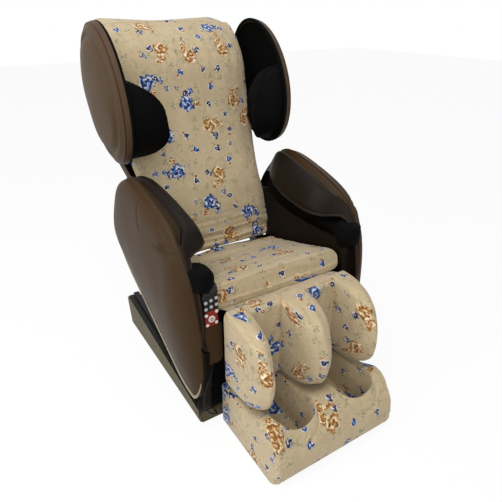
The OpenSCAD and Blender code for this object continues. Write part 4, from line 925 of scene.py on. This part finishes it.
# Black lining with the shoulder air cushion: a lens that swells inwards, with its sewn seam and folds.
def makeWingLining(s):
    b = s["lobe"]
    radii = np.concatenate([np.linspace(0.02, 0.9, 74), np.linspace(0.905, s["edge"], 8)])
    front = wingRings(s, radii * s["lining"], wingInside(s, radii) - s["gap"])
    n, t = front[..., 1], front[..., 2]
    q = ((n - b["n"]) / b["halfN"]) ** 2 + ((t - b["t"]) / b["halfT"]) ** 2
    lens = b["rise"] * np.maximum(0, 1 - q ** b["round"]) ** 0.6
    rim = smooth((1 - radii) / 0.10)[:, None]
    cut = creases(np.stack([n.ravel(), t.ravel()], axis=1), s["folds"]).reshape(n.shape)
    soft = b["soft"] * waves(np.stack([n.ravel(), t.ravel(), 0 * n.ravel()], 1), 33, 0.06, 6).reshape(n.shape)
    rest = wingInside(s, radii)[:, None] - s["gap"]
    front[..., 0] = np.minimum(rest - lens + (cut + soft) * rim * np.where(lens > 0.004, 1, 0.4),
                               rest - 0.0005)
    back = wingRings(s, radii[::-1] * s["lining"], wingInside(s, radii[::-1]) - 0.0003)
    obj = closedLoft("leftWingLining", np.concatenate([front, back]), capSteps=2)
    setPoints(obj, onBack(points(obj)))
    return obj


# A round piping along the oval at radius r, x out from the rim.
def makeWingPiping(s, name, r, x, radius):
    a = np.linspace(0, 2 * math.pi, 220)
    n, t = wingPlace(s, r, a)
    return tube(name, onBack(np.stack([np.full(len(a), s["rim"] + x), n, t], axis=1)), radius, sides=10)


# Both wings, each a shell, a lining, a piping round it and the binding of its rim.
def makeWings(s):
    shell, lining = makeWingShell(s), makeWingLining(s)
    piping = makeWingPiping(s, "leftWingPiping", **s["piping"])
    binding = makeWingPiping(s, "leftWingBinding", **s["binding"])
    # the shells take the paler copy of the brown leatherette, painted light
    finishSides(shell, "backrest", paintedLightWingLeather, "wing_shell")
    finishSides(lining, "backrest", spacer, "wing_airbag")
    finishSides(piping, "backrest", pipingLeather)
    finishSides(binding, "backrest", spacer)


makeWings(wing)
print("wings ready")


# An arm's crown is y and z in millimetres. Along a section u runs from 0 at the sole to 6 at the hood's lip:
# the groove, the crest and the hood's lobe say where they are on it. hoodReach and hoodDrop are tables over
# y.
arm = {"nose": 0.277, "tail": 0.937, "toeZ": 0.150, "tailZ": 0.455, "edge": 0.308, "bulge": 0.060,
       "wall": 0.025,
       "foot": 0.50, "rows": 190, "cols": 130,
       "hoodReach": ((0.335, 0.37, 0.395, 0.41, 0.43, 0.46, 0.49, 0.55, 0.61, 0.68, 0.74, 0.79, 0.83),
                     (0, 0.010, 0.036, 0.066, 0.087, 0.095, 0.096, 0.094, 0.089, 0.076, 0.050, 0.018, 0)),
       "hoodDrop": ((0.30, 0.335, 0.37, 0.40, 0.43, 0.49, 0.55, 0.61, 0.68, 0.74, 0.80, 0.86, 0.92),
                    (0, 0.014, 0.036, 0.058, 0.066, 0.084, 0.096, 0.104, 0.102, 0.088, 0.052, 0.014, 0)),
       "groove": {"u": 4.55, "width": 0.17, "depth": 0.016, "inside": 0.006},
       "crest": {"u": 4.2, "width": 0.16, "height": 0.0020},
       "lobe": {"u": 4.6, "length": 1.4, "height": 0.009, "inward": 0.007}, "darkFrom": 4.5,
       "slow": 0.0012, "seamRadius": 0.0020, "lipRadius": 0.0055,
       # depth, width, fade and line of the nose seam, the one above it, the upright seam and the raised
       # pillow
       "seams": [(0.0040, 0.0035, 0.12, [(0.296, 0.628), (0.335, 0.640), (0.395, 0.643), (0.462, 0.640)]),
                 (0.0032, 0.003, 0.15, [(0.297, 0.640), (0.335, 0.653), (0.385, 0.657), (0.430, 0.655)]),
                 (0.0036, 0.0035, 0.15, [(0.566, 0.745), (0.578, 0.715), (0.572, 0.68), (0.556, 0.640)]),
                 (-0.0030, 0.014, 0.3, [(0.300, 0.612), (0.335, 0.624), (0.380, 0.628)])],
       "strip": {"half": 0.0068, "thick": 0.0034, "rise": 0.0080, "proud": 0.0012},
       "slit": {"from": 0.628, "to": 0.704, "half": 0.0022, "thick": 0.0012, "proud": 0.0042},
       "crown": [(277, 365), (285, 470), (321, 590), (407, 681), (569, 738), (732, 757), (842, 673),
                 (911, 547), (937, 471)]}


# A quarter circle: from 0 up to 1, steep at first and level at the end.
def arcRise(t):
    return np.sqrt(1 - (1 - np.clip(t, 0, 1)) ** 2)


# The lower edge: straight from toe to tail, its front drawn up in a quarter circle.
def armSole(s, y):
    run = (y - s["nose"] - 0.036) / (s["tail"] - s["nose"] - 0.036)
    lifted = 1 - arcRise((y - s["nose"] + 0.001) / 0.040)
    return s["toeZ"] + (s["tailZ"] - s["toeZ"]) * run + s["toeZ"] * lifted


# How far the hood's lobe reaches inwards, as a share, and how far its lip hangs below the crown.
def armHood(s, y):
    reach = np.maximum(0, np.interp(y, *s["hoodReach"]))
    return reach / max(s["hoodReach"][1]), np.interp(y, *s["hoodDrop"])


# Outer and inner faces of an arm: seven control points to a section, smoothed into curves, station by
# station.
def armSections(s):
    crown = catmull(s["crown"], s["rows"]) / 1000
    y, top = crown[:, 0], crown[:, 1]
    sole = armSole(s, y)
    g, drop = armHood(s, y)
    h = top - sole
    swell = np.minimum(arcRise((y - s["nose"]) / 0.130), arcRise((s["tail"] - y + 0.004) / 0.190))
    b, e = s["bulge"] * swell, s["edge"]
    th, rise = np.minimum(s["wall"], 0.2 * h + 0.003), np.minimum(0.030, 0.16 * h)
    lip = e - 0.45 * th - max(s["hoodReach"][1]) * g
    mid = lip + (e + 0.26 * b - lip) * 0.45
    # the section's foot stands well out from the side wall, so that the lower edge is the silhouette
    outer = [(e + s["foot"] * b, sole), (e + 0.86 * b, sole + 0.27 * h), (e + b, sole + 0.60 * h),
             (e + 0.80 * b, top - rise), (e + 0.26 * b, top), (mid, top - 0.10 * drop), (lip, top - drop)]
    inner = [(e + s["foot"] * b - 0.75 * th, sole), (e + 0.86 * b - 0.85 * th, sole + 0.28 * h),
             (e + b - th, sole + 0.59 * h), (e + 0.80 * b - 0.95 * th, top - rise - 0.35 * th),
             (e + 0.26 * b - 0.35 * th, top - 0.95 * th),
             (mid + 0.35 * th, top - 0.10 * drop - (0.3 + 0.75 * g) * th),
             (lip + 0.2 * th, top - drop - (0.12 + 0.45 * g) * th)]

    def grid(control):
        c = np.array([np.stack([x, y, z], axis=1) for x, z in control])
        return catmull(c, s["cols"]).transpose(1, 0, 2)

    return grid(outer), grid(inner), g


# The shell with its seams and padded hood, the pipings on the hood's seam and lip, and the trim strip with
# its slit.
def makeArm(s):
    outer, inner, g = armSections(s)
    groove, crest, lobe = s["groove"], s["crest"], s["lobe"]
    u = np.linspace(0, 6, s["cols"])[None, :]
    hood = smooth(g / 0.6)[:, None]
    # the padded lobe under the hood: a deep groove behind the outer panel, then a swelling up to the lip
    dip = np.exp(-((u - groove["u"]) / groove["width"]) ** 2) * smooth(hood * 1.6)
    swell = np.sin(np.pi * np.clip((u - lobe["u"]) / lobe["length"], 0, 1)) ** 0.8 * hood
    rise = np.exp(-((u - crest["u"]) / crest["width"]) ** 2) * smooth(hood * 1.6)
    outer[..., 2] += -groove["depth"] * dip + lobe["height"] * swell + crest["height"] * rise
    outer[..., 0] -= lobe["inward"] * swell
    inner[..., 2] -= groove["inside"] * dip
    side = np.stack([outer[..., 1].ravel(), outer[..., 2].ravel()], axis=1)
    face = (smooth((crest["u"] - u) / 0.5) * smooth(u / 0.5) + 0 * hood).ravel()
    out = face * (s["slow"] * waves(outer.reshape(-1, 3), 41, 0.20, 5) - creases(side, s["seams"]))
    outer[..., 0] += out.reshape(outer.shape[:2])
    shell = wallLoft("leftArmShell", fromToe(outer), fromToe(inner))
    seam = fromToe(outer[14:-60, int(crest["u"] / 6 * s["cols"])] + [0, 0, 0.001])
    lip = fromToe(0.5 * (outer[10:-50, -1] + inner[10:-50, -1]))
    return (shell, tube("leftHoodSeam", seam, s["seamRadius"], 8), tube("leftHoodLip", lip, s["lipRadius"]),
            *makeArmTrim(s["strip"], s["slit"], outer))


# A flat strip with rounded edges along the shell's lower edge, and the dark slit let into it.
def makeArmTrim(s, slit, outer):
    low, up = outer[16:-5, 0], outer[16:-5, 5]
    rise = (up - low) / np.linalg.norm(up - low, axis=1, keepdims=True)
    run = np.gradient(low, axis=0)
    run /= np.linalg.norm(run, axis=1, keepdims=True)
    out = np.cross(run, rise)
    out *= np.sign(out[:, :1])
    q = np.linspace(0, 2 * math.pi, 28, endpoint=False)
    a, b = signedPower(np.cos(q), 0.5)[None, :, None], signedPower(np.sin(q), 0.5)[None, :, None]

    def strip(name, rows, size, half, thick, proud):
        centre = low[rows] + rise[rows] * s["rise"] + out[rows] * proud
        across = thick * a * out[rows][:, None] + half * b * rise[rows][:, None]
        return closedLoft(name, fromToe(centre[:, None] + size[:, None, None] * across), capSteps=2)

    share = np.linspace(0, 1, len(low))
    ends = np.sqrt(np.clip(np.minimum(share, 1 - share) / 0.012, 0.03, 1))
    inSlit = (low[:, 1] > slit["from"]) & (low[:, 1] < slit["to"])
    place = np.arange(inSlit.sum())
    slitEnds = np.sqrt(np.clip(np.minimum(place, place[::-1]) / 2, 0.05, 1))
    return (strip("leftArmTrim", slice(None), ends, s["half"], s["thick"], s["proud"]),
            strip("leftTrimSlit", inSlit, slitEnds, slit["half"], slit["thick"], slit["proud"]))


# The lower air cushion; its wall is y and the height on which it rests, in millimetres, its folds depth,
# width, fade and line about its middle height.
bag = {"from": 0.314, "to": 0.805, "sideX": 0.262, "rows": 120, "cols": 84, "fill": 0.6, "overhang": 0.010,
       "sag": 0.020,
       "wall": [(315, 542), (367, 544), (467, 540), (607, 542), (707, 554), (797, 590), (857, 580),
                (887, 505)],
       "folds": [(0.006, 0.005, 0.18, [(0.33, 0.006), (0.45, 0.010), (0.60, 0.012), (0.76, 0.008)]),
                 (0.0048, 0.004, 0.18, [(0.36, -0.010), (0.48, -0.006), (0.62, -0.006), (0.74, -0.008)])],
       "tongue": {"x": 0.262, "y": 0.327, "half": 0.047, "low": 0.522, "top": 0.602, "wallTop": 0.545,
                  "swell": 0.016,
                  "back": 0.053, "lean": 0.004, "foldDepth": 0.0045, "foldWidth": 0.007}}


# The lower air cushion: a lens along the side wall's top, with sagging folds and a tongue over the wall
# in front.
def makeArmBag(s):
    u = np.linspace(0, 1, s["rows"])
    u = 0.5 - 0.5 * np.cos(math.pi * u)
    y = s["from"] + (s["to"] - s["from"]) * u
    full = np.sqrt(np.maximum(0.04, 1 - np.abs(2 * u - 1) ** 2.6))
    rest = np.maximum(s["tongue"]["wallTop"], along(np.array(s["wall"]) / 1000, y))
    swell = np.minimum(arcRise((y - arm["nose"]) / 0.130), arcRise((arm["tail"] - y + 0.004) / 0.190))
    x0, x1 = s["sideX"] + 0.026 - 0.024 * full, s["sideX"] + 0.030 + 0.034 * full * swell
    z0, z1 = rest + 0.0015 + 0.006 * (1 - full), rest + 0.012 + 0.042 * full
    rings = []
    for yy, a, b, c, d in zip(y, x0, x1, z0, z1):
        r = ovalRing(a, b, c, d, 2.6, s["cols"])
        rings.append(np.stack([r[:, 0], np.full(len(r), yy), r[:, 1]], axis=1))
    obj = closedLoft("leftArmBag", np.array(rings), capSteps=3)
    p = points(obj)
    inner = smooth((0.285 - p[:, 0]) / 0.02)
    middle = 0.5 * (along(np.stack([y, z0], 1), p[:, 1]) + along(np.stack([y, z1], 1), p[:, 1]))
    sag = smooth((0.43 - p[:, 1]) / 0.10) * smooth((p[:, 1] - 0.318) / 0.02)
    # the tongue hangs a little over the wall's inner face, and two long folds run along the cushion
    p[:, 0] -= inner * s["overhang"] * sag
    p[:, 2] -= inner * s["sag"] * sag * smooth((middle - p[:, 2]) / 0.01)
    side = np.stack([p[:, 1], p[:, 2] - middle], axis=1)
    p[:, 0] += inner * creases(side, s["folds"]) + 0.001 * waves(p, 43, 0.04, 5)
    setPoints(obj, fromToe(p))
    return joined("leftArmBag", [obj, makeTongue(s["tongue"])])


# The cushion's front end: a rounded flap that hangs over the side wall, thin beside the seat and full
# above it.
def makeTongue(s):
    z = np.linspace(s["low"], s["top"], 40)
    share = (z - s["low"]) / (s["top"] - s["low"])
    end = np.sqrt(np.clip(1 - (1 - np.clip(share / 0.45, 0, 1)) ** 2, 0.01, 1))
    half = s["half"] * end * (1 - 0.12 * smooth((share - 0.6) / 0.4))
    above = smooth((z - s["wallTop"] + 0.012) / 0.030)
    full = np.sqrt(np.clip(np.minimum(share, 1 - share) / 0.25, 0.02, 1))
    x0 = s["x"] - 0.0034 - s["swell"] * above * full
    x1 = s["x"] - 0.0003 + s["back"] * smooth((z - s["low"] - 0.004) / 0.020)
    rings = []
    for zz, h, a, b, c in zip(z, half, x0, x1, s["lean"] * share):
        r = ovalRing(a, b, s["y"] - h - c, s["y"] + h - c, 2.4, 72)
        rings.append(np.stack([r[:, 0], r[:, 1], np.full(len(r), zz)], axis=1))
    obj = closedLoft("leftTongue", np.array(rings), capSteps=2)
    p = points(obj)
    line = [(s["y"] + 0.030, s["top"]), (s["y"] + 0.010, s["wallTop"] + 0.02),
            (s["y"] + 0.012, s["wallTop"] - 0.02)]
    inside = smooth((s["x"] - 0.004 - p[:, 0]) / 0.006)
    p[:, 0] += s["foldDepth"] * crease(p[:, 1:], line, s["foldWidth"]) * inside
    setPoints(obj, fromToe(p))
    return obj


# Both arms: the left one's pieces and their mirror copies; the two trim strips are one piece.
def makeArms(s, cushion):
    shell, seam, lip, trim, slit = makeArm(s)
    airBag = makeArmBag(cushion)
    for one in finishSides(shell, "chair", brownLeather, "arm_shell"):
        # the lobe under the hood, its lip and the whole inner face are of the darker leather
        one.data.materials.append(hoodLeather)
        across = np.tile(np.arange(s["cols"] - 1), s["rows"] - 1)
        dark = np.ones(len(one.data.polygons), np.int32)
        dark[:len(across)] = across > s["darkFrom"] / 6 * s["cols"]
        one.data.polygons.foreach_set("material_index", dark)
    finishSides(seam, "chair", edgeLeather)
    finishSides(lip, "chair", edgeLeather)
    strips = joined("armTrimStrips", [trim, mirrored(trim, "rightArmTrim")])
    finishPiece(strips, "chair", champagne, ["arm_trim_strips"])
    finishSides(slit, "chair", blackPlastic)
    finishSides(airBag, "chair", spacer, "arm_airbag")


# A leather panel that closes the arm in front, from under the lower cushion down to the base.
def makeFront(s, rows=60, cols=40):
    plan = catmull(s["plan"], cols)
    z = np.linspace(s["low"], s["top"], rows)
    ends = s["round"] * (1 - arcRise(np.minimum(z - s["low"], s["top"] - z) / s["round"]))
    p = np.empty((rows, cols, 3))
    p[..., 0], p[..., 1], p[..., 2] = plan[None, :, 0], plan[None, :, 1] + ends[:, None] * 0.35, z[:, None]
    p[..., 1] += s["dents"] * waves(p.reshape(-1, 3), 47, 0.09, 5).reshape(rows, cols)
    return wallLoft("leftArmFront", fromToe(p), fromToe(p + [0, s["thick"], 0]))


# Both arms' front panels, and black cloth sheets under the seat's front edge and beside its rear end, painted
# shade that fills those gaps.
def makeFronts(front, cloths):
    pieces = [(makeFront(front), hoodLeather, "brown_leather")]
    for name, (x0, x1, y, low, top) in cloths["places"].items():
        x, z = np.meshgrid(np.linspace(x0, x1, 12), np.linspace(low, top, 24))
        p = np.stack([x, np.full(x.shape, y), z], axis=-1)
        cloth = wallLoft(name, fromToe(p), fromToe(p + [0, cloths["thick"], 0]))
        pieces.append((cloth, spacer, "black_fabric"))
    for obj, material, slot in pieces:
        finishSides(obj, "chair", material)


# plan is x and y round the arm's front corner; a cloth is its two ends across, its y, and its lower and upper
# edge
armFront = {"low": 0.060, "top": 0.508, "round": 0.020, "thick": 0.003, "dents": 0.0012,
            "plan": [(0.2625, 0.324), (0.2640, 0.319), (0.2700, 0.3170), (0.2860, 0.3165), (0.3000, 0.3140),
                     (0.3120, 0.3070), (0.3220, 0.2980)]}
# the cloths are painted shade: black sheets in the shaded gaps under the seat's front edge and beside its
# rear end
gapShadeCloths = {"thick": 0.0025, "places": {"leftSkirt": (0.076, 0.2612, 0.3275, 0.060, 0.427),
                                         "leftGapCloth": (0.200, 0.2612, 0.7695, 0.335, 0.394)}}

makeArms(arm, bag)
makeFronts(armFront, gapShadeCloths)
print("arms ready")


# Calf rest; its face is height and y in millimetres, its body's ends height and how far they draw in. The
# fold is a ridge down the middle of each lobe with a groove beside it: where, width, height.
calf = {"back": 0.270, "lowZ": 0.180, "topZ": 0.468, "halfWidth": 0.236, "channel": 0.107, "middle": 0.055,
        "footRound": 0.022, "topRound": 0.012, "pressure": 2.5, "puffed": 0.004, "fill": 0.9,
        "fold": [(0.0, 0.011, 0.0080), (-0.018, 0.005, -0.0040)], "bodyInset": 0.014, "bodyDepth": 0.034,
        "face": [(176, 160), (194, 128), (228, 94), (284, 76), (350, 80), (415, 103), (446, 138), (464, 172),
                 (468, 200)],
        "body": [(184, 12), (190, 5), (196, 2), (300, 0), (428, 0), (456, 3), (464, 14)]}


# A calf cushion: superellipse rings by height, flat at the back, with a soft vertical ridge on its front.
def makeLobe(s, name, x0, x1, seed):
    low, top = s["lowZ"] - 0.003, s["topZ"]
    u = np.linspace(0, 1, 96)
    z = low + (top - low) * (smooth(u) * 0.6 + u * 0.4)
    front = along(np.array(s["face"]) / 1000, z)
    end = s["footRound"] * (1 - arcRise((z - low) / 0.055)) + s["topRound"] * (1 - arcRise((top - z) / 0.030))
    rings = []
    for zz, f, e in zip(z, front, end):
        r = ovalRing(x0 + e, x1 - e, f + e, 2 * s["back"] - f, 3, 150, start=90)
        rings.append(np.stack([r[:, 0], np.minimum(r[:, 1], s["back"]), np.full(len(r), zz)], axis=1))
    obj = closedLoft(name, np.array(rings), capSteps=6, flip=True,
                     uvShift=(0.37 + x0 * 1.3, 0.21 + 0.4 * abs(x0)))
    puff(obj, s["pressure"], s["puffed"], held=points(obj)[:, 1] > s["back"] - 0.02)
    p = points(obj)
    forward = smooth((s["back"] - 0.03 - p[:, 1]) / 0.05)
    off = p[:, 0] - 0.5 * (x0 + x1)
    fold = sum(height * np.exp(-((off - place) / width) ** 2) for place, width, height in s["fold"])
    p[:, 1] -= forward * fold * smooth((p[:, 2] - s["lowZ"]) / 0.05)
    p[:, 1] += forward * 0.0012 * waves(p, seed, 0.030, 7, stretch=(1.0, 1.0, 4.0))
    p[:, 0] += 0.0010 * waves(p, seed + 1, 0.045, 6, stretch=(1.0, 1.0, 2.0)) * forward
    setPoints(obj, fromToe(p))
    return obj


# The flat body behind, with a lobe on either side and one in the middle, made one piece.
def makeCalfPad(s):
    lobeWidth = s["halfWidth"] - s["channel"] - s["middle"]
    w, b, d = s["halfWidth"] - s["bodyInset"], s["back"], s["bodyDepth"]
    rings = []
    for z, e in catmull(s["body"], 60) / 1000:
        r = ovalRing(-w + e, w - e, b - d + e, b + d - e, 4, 200, start=90)
        rings.append(np.stack([r[:, 0], np.minimum(r[:, 1], b), np.full(len(r), z)], axis=1))
    body = closedLoft("calfBody", np.array(rings), capSteps=4, flip=True, uvShift=(0.12, 0.55))
    p = points(body)
    p[:, 1] -= smooth((b - 0.02 - p[:, 1]) / 0.01) * 0.0016 * waves(p, 51, 0.022, 6, stretch=(1.0, 1.0, 5.0))
    setPoints(body, fromToe(p))
    lobes = [makeLobe(s, "calfLobeMiddle", -s["middle"], s["middle"], 52),
             makeLobe(s, "calfLobeLeft", s["halfWidth"] - lobeWidth, s["halfWidth"], 54),
             makeLobe(s, "calfLobeRight", -s["halfWidth"], lobeWidth - s["halfWidth"], 56)]
    obj = joined("calfPad", [body] + lobes)
    finishPiece(obj, "leg_rest", jersey, ["calf_pad"])


# A strip of the cover from the calf rest's top back under the seat's front edge.
def makeFlap(s):
    line = catmull(s["line"], 26)
    x = np.linspace(-s["half"], s["half"], 90)
    p = np.empty((len(line), len(x), 3))
    p[..., 0], p[..., 1], p[..., 2] = x, line[:, :1], line[:, 1:]
    p[..., 2] += s["ripple"] * waves(p.reshape(-1, 3), 58, 0.05, 5, (0.6, 1.0, 1.0)).reshape(p.shape[:2])
    obj = wallLoft("coverFlap", fromToe(p), fromToe(p - [0, 0, s["thick"]]))
    corner = np.empty(len(obj.data.loops), np.int32)
    obj.data.loops.foreach_get("vertex_index", corner)
    layer = obj.data.uv_layers.new(name="cloth")
    layer.data.foreach_set("uv", (points(obj)[corner][:, :2] + 0.2).astype(np.float32).ravel())
    obj.data.materials.append(jersey)
    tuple(fromToe((0, s["line"][1][0], 0.45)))
    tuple(fromToe((0, s["line"][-1][0], 0.45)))
    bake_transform(obj)


# half the width of the strip, and its line in y and z
coverFlap = {"half": 0.214, "thick": 0.003, "ripple": 0.0012,
             "line": [(0.250, 0.4655), (0.272, 0.4640), (0.290, 0.4560), (0.312, 0.4460), (0.338, 0.4330)]}

makeCalfPad(calf)
makeFlap(coverFlap)
print("calf rest ready")


# Foot box, in millimetres where a number is above 1. wall and wellFloor are y and height round a side
# profile; a station is its distance from the middle, the share of the well's profile and how far the
# profile's corner draws in; fold is the seam from a well's side round its opening.
foot = {"halfWidth": 0.232, "length": 0.318, "gap": 0.006, "well": 0.117, "rim": 19.0, "endRadius": 72.0,
        "endDepth": 36.0, "fill": 0.95, "turnOver": (0.030, 0.155), "printShift": (0.42, 0.77),
        "puffed": (0.0010, 61, 0.07, 6), "wrinkled": (0.0006, 62, 0.022, 6, (3.0, 1.0, 1.0)),
        "foldDepth": 0.0055, "foldWidth": 0.006,
        "wall": [(6, 6), (-10, 28), (-15, 62), (-10, 108), (6, 146), (26, 176), (46, 192), (56, 196),
                 (68, 198), (80, 197), (96, 192), (118, 180), (150, 168), (220, 164), (246, 161), (256, 160),
                 (262, 160), (268, 160), (310, 160), (318, 152), (318, 6)],
        "lip": [(-5, -1), (2, 2), (8, 28)], "slope": [(13, 92), (23, 60), (45, 47)],
        "wellFloor": [(118, 44), (150, 44), (220, 44), (244, 46), (256, 62), (262, 130), (270, 160),
                      (310, 160), (318, 152), (318, 6)],
        "stations": [(0, 0, 0), (35, 0, 0), (47, .06, 0), (55, .4, 0), (60, .82, 0), (69, 1, 0), (117, 1, 0),
                     (165, 1, 0), (174, .82, 0), (179, .4, 0), (187, .06, 0), (197, 0, 0), (218, 0, 0),
                     (227, 0, 5), (232, 0, 15)],
        "fold": [(-.184, .040, .186), (-.176, .018, .168), (-.155, -.002, .134), (-.128, -.006, .122),
                 (-.10, -.004, .128), (-.072, .008, .152), (-.054, .026, .177), (-.047, .048, .193),
                 (-.046, .075, .198)]}


# Lays flat panels of cloth on a boxy piece: each face takes its UV, in metres, from the side it looks
# towards. Front and top share one panel that turns over the fold line, a place (y, z).
def flatCloth(obj, fold, shift):
    mesh = obj.data
    n = np.empty(len(mesh.polygons) * 3)
    mesh.polygons.foreach_get("normal", n)
    n = np.abs(n.reshape(-1, 3))
    sizes = np.empty(len(mesh.polygons), np.int32)
    mesh.polygons.foreach_get("loop_total", sizes)
    corner = np.empty(len(mesh.loops), np.int32)
    mesh.loops.foreach_get("vertex_index", corner)
    p = points(obj)[corner]
    kind = np.repeat(np.where(n[:, 0] > 0.80, 0, np.where(n[:, 1] > n[:, 2], 1, 2)), sizes)
    sideways = np.stack([np.sign(p[:, 0]) * (p[:, 1] + 0.7), p[:, 2]], axis=1)
    upright = np.stack([p[:, 0], p[:, 2]], axis=1)
    lying = np.stack([p[:, 0], fold[1] + p[:, 1] - fold[0]], axis=1)
    uv = np.choose(kind[:, None], [sideways, upright, lying]) + np.asarray(shift)
    mesh.uv_layers["cloth"].data.foreach_set("uv", uv.astype(np.float32).ravel())


# A profile through a well for each station: up the front to the opening's rim, which runs round in a U,
# then down to the floor and up again at the rear.
def wellLines(s, x):
    wall = np.array(s["wall"], float)
    loaf = catmull(wall[3:10], 120)
    off = np.clip((np.abs(x) - s["well"] * 1000) / s["endRadius"], -1, 1)
    rim = s["rim"] + s["endDepth"] * (1 - np.sqrt(1 - off**2))
    before = wall[3, 0] + 0.55 * (rim - wall[3, 0])

    def onLoaf(y, drop):
        return np.stack([y, np.interp(y - np.maximum(0, drop) / 20, loaf[:, 0], loaf[:, 1]) - drop], axis=-1)

    def upright(y, z):
        return np.stack([y, np.full(len(x), float(z))], axis=-1)

    front = [np.broadcast_to(corner, (len(x), 2)) for corner in wall[:4]]
    lip = [onLoaf(before, 0)] + [onLoaf(rim + step, drop) for step, drop in s["lip"]]
    slope = [upright(rim + step, z) for step, z in s["slope"]]
    floor = [np.broadcast_to(corner, (len(x), 2)) for corner in np.array(s["wellFloor"], float)]
    return np.stack(front + lip + slope + floor)


# Side profiles lofted across the box: a wall's and a well's profile, mixed station by station into two
# U-shaped wells.
def makeFootBox(s):

    def fine(line):
        # the first nineteen corners are a soft curve, the rest the straight rear and underside
        soft = catmull(line[:19], 190)
        rear = np.concatenate([np.linspace(line[18], line[19], 4)[1:],
                               np.linspace(line[19], line[20], 24)[1:],
                               np.linspace(line[20], line[0], 44)[1:-1]])
        return np.concatenate([soft, rear])

    st = np.array(s["stations"], float)
    # close together where the wells' sides stand
    steps = [(0, 0.035, 10), (0.035, 0.075, 34), (0.075, 0.160, 26), (0.160, 0.200, 34), (0.200, 0.216, 6)]
    half = [np.linspace(*step, endpoint=False) for step in steps] + [np.linspace(0.216, s["halfWidth"], 12)]
    x = np.concatenate(half)
    x = np.concatenate([-x[:0:-1], x]) * 1000
    a = fine(np.array(s["wall"], float))
    b = fine(wellLines(s, x)).transpose(1, 0, 2)
    share = np.clip(along(st[:, [0, 1]], np.abs(x)), 0, 1)[:, None, None]
    mixed = a + (b - a) * share
    corner = np.clip(along(st[:, [0, 2]], np.abs(x)), 0, 15)[:, None]
    y = mixed[..., 0] + (s["length"] * 500 - mixed[..., 0]) * (corner / 160)
    z = mixed[..., 1] + (s["gap"] * 1000 - mixed[..., 1]) * (corner / 170)
    rings = np.stack([np.broadcast_to(x[:, None], y.shape), y, z], axis=-1) / 1000
    rings = np.roll(rings, -20, axis=1)
    obj = closedLoft("footBox", rings, capSteps=8, flip=True)
    flatCloth(obj, s["turnOver"], s["printShift"])
    p = points(obj)
    outside = smooth((p[:, 2] - 0.02) / 0.03)
    x, y, z = np.abs(p[:, 0]), p[:, 1], p[:, 2]
    inWell = smooth((0.125 - z) / 0.02) * (y > 0.045) * (y < 0.27) * (x < 0.19)
    n = points(obj, "normal")
    size, *pattern = s["puffed"]
    puffed = size * waves(p, *pattern)
    size, *pattern = s["wrinkled"]
    puffed += size * waves(p, *pattern) * (1 - inWell)
    folds = sum(crease(p * [side, 1, 1], s["fold"], s["foldWidth"], 0.10) for side in (1, -1))
    p += n * (puffed * outside - s["foldDepth"] * folds)[:, None]
    setPoints(obj, fromToe(p))
    finishPiece(obj, "foot_rest", jersey, ["foot_box"])


makeFootBox(foot)
print("foot rest ready")


# Lamps: name, place, target, size in metres and power in watts.
studio = {"floor": "#f2f1ef", "backdrop": "#ffffff", "reach": 12.0, "fill": 0.42, "floorWhite": 0.90,
          "glow": 1.02,
          "lamps": [("overhead", (-0.9, -0.5, 3.0), (0, 0, 0.6), (2.2, 2.2), 42),
                    ("front", (-1.3, -2.8, 1.9), (0, 0, 0.6), (1.6, 1.6), 20),
                    ("left window", (-3.0, 0.0, 1.8), (0, 0, 0.7), (1.4, 2.2), 30)]}


# A white sheet and world, paper white where they are seen directly or in a reflection but for the object's
# shadow, and the lamps, each turned towards its target.
def makeStudio(s):
    r = s["reach"]
    floor = meshFrom("floor", [(-r, -r, 0), (r, -r, 0), (r, r, 0), (-r, r, 0)], [(0, 1, 2, 3)])
    mat, tree, bsdf = newMaterial("white paper sweep", Roughness=0.9, Specular_IOR_Level=0.1)
    rays = addNode(tree, "LightPath").outputs
    seen = addNode(tree, "Math:MAXIMUM", [rays["Is Camera Ray"], rays["Is Glossy Ray"]])
    share = addNode(tree, "Math:MULTIPLY", [seen, s["floorWhite"]])
    glow = addNode(tree, "Emission", {"Color": s["backdrop"], "Strength": s["glow"]})
    feed(tree, bsdf, {"Base Color": s["floor"]})
    feed(tree, tree.nodes["Material Output"], {"Surface": addNode(tree, "MixShader", [share, bsdf, glow])})
    floor.data.materials.append(mat)

    world = bpy.data.worlds.new("studio")
    world.use_nodes = True
    bpy.context.scene.world = world
    tree = world.node_tree
    rays = addNode(tree, "LightPath").outputs
    seen = addNode(tree, "Math:MAXIMUM", [rays["Is Camera Ray"], rays["Is Glossy Ray"]])
    seen = addNode(tree, "Math:MAXIMUM", [seen, rays["Is Transmission Ray"]])
    strength = addNode(tree, "Math:MULTIPLY_ADD", [seen, 1 - s["fill"], s["fill"]])
    feed(tree, tree.nodes["Background"], {"Color": s["backdrop"], "Strength": strength})

    for name, place, target, size, power in s["lamps"]:
        data = bpy.data.lights.new(name, "AREA")
        data.shape = "RECTANGLE"
        data.size, data.size_y = size
        data.energy = power
        lamp = addObject(name, data)
        lamp.location = place
        lamp.rotation_euler = (Vector(target) - Vector(place)).to_track_quat("-Z", "Y").to_euler()


makeStudio(studio)
bpy.context.scene.view_settings.view_transform = "Standard"
print("floor and lamps ready")
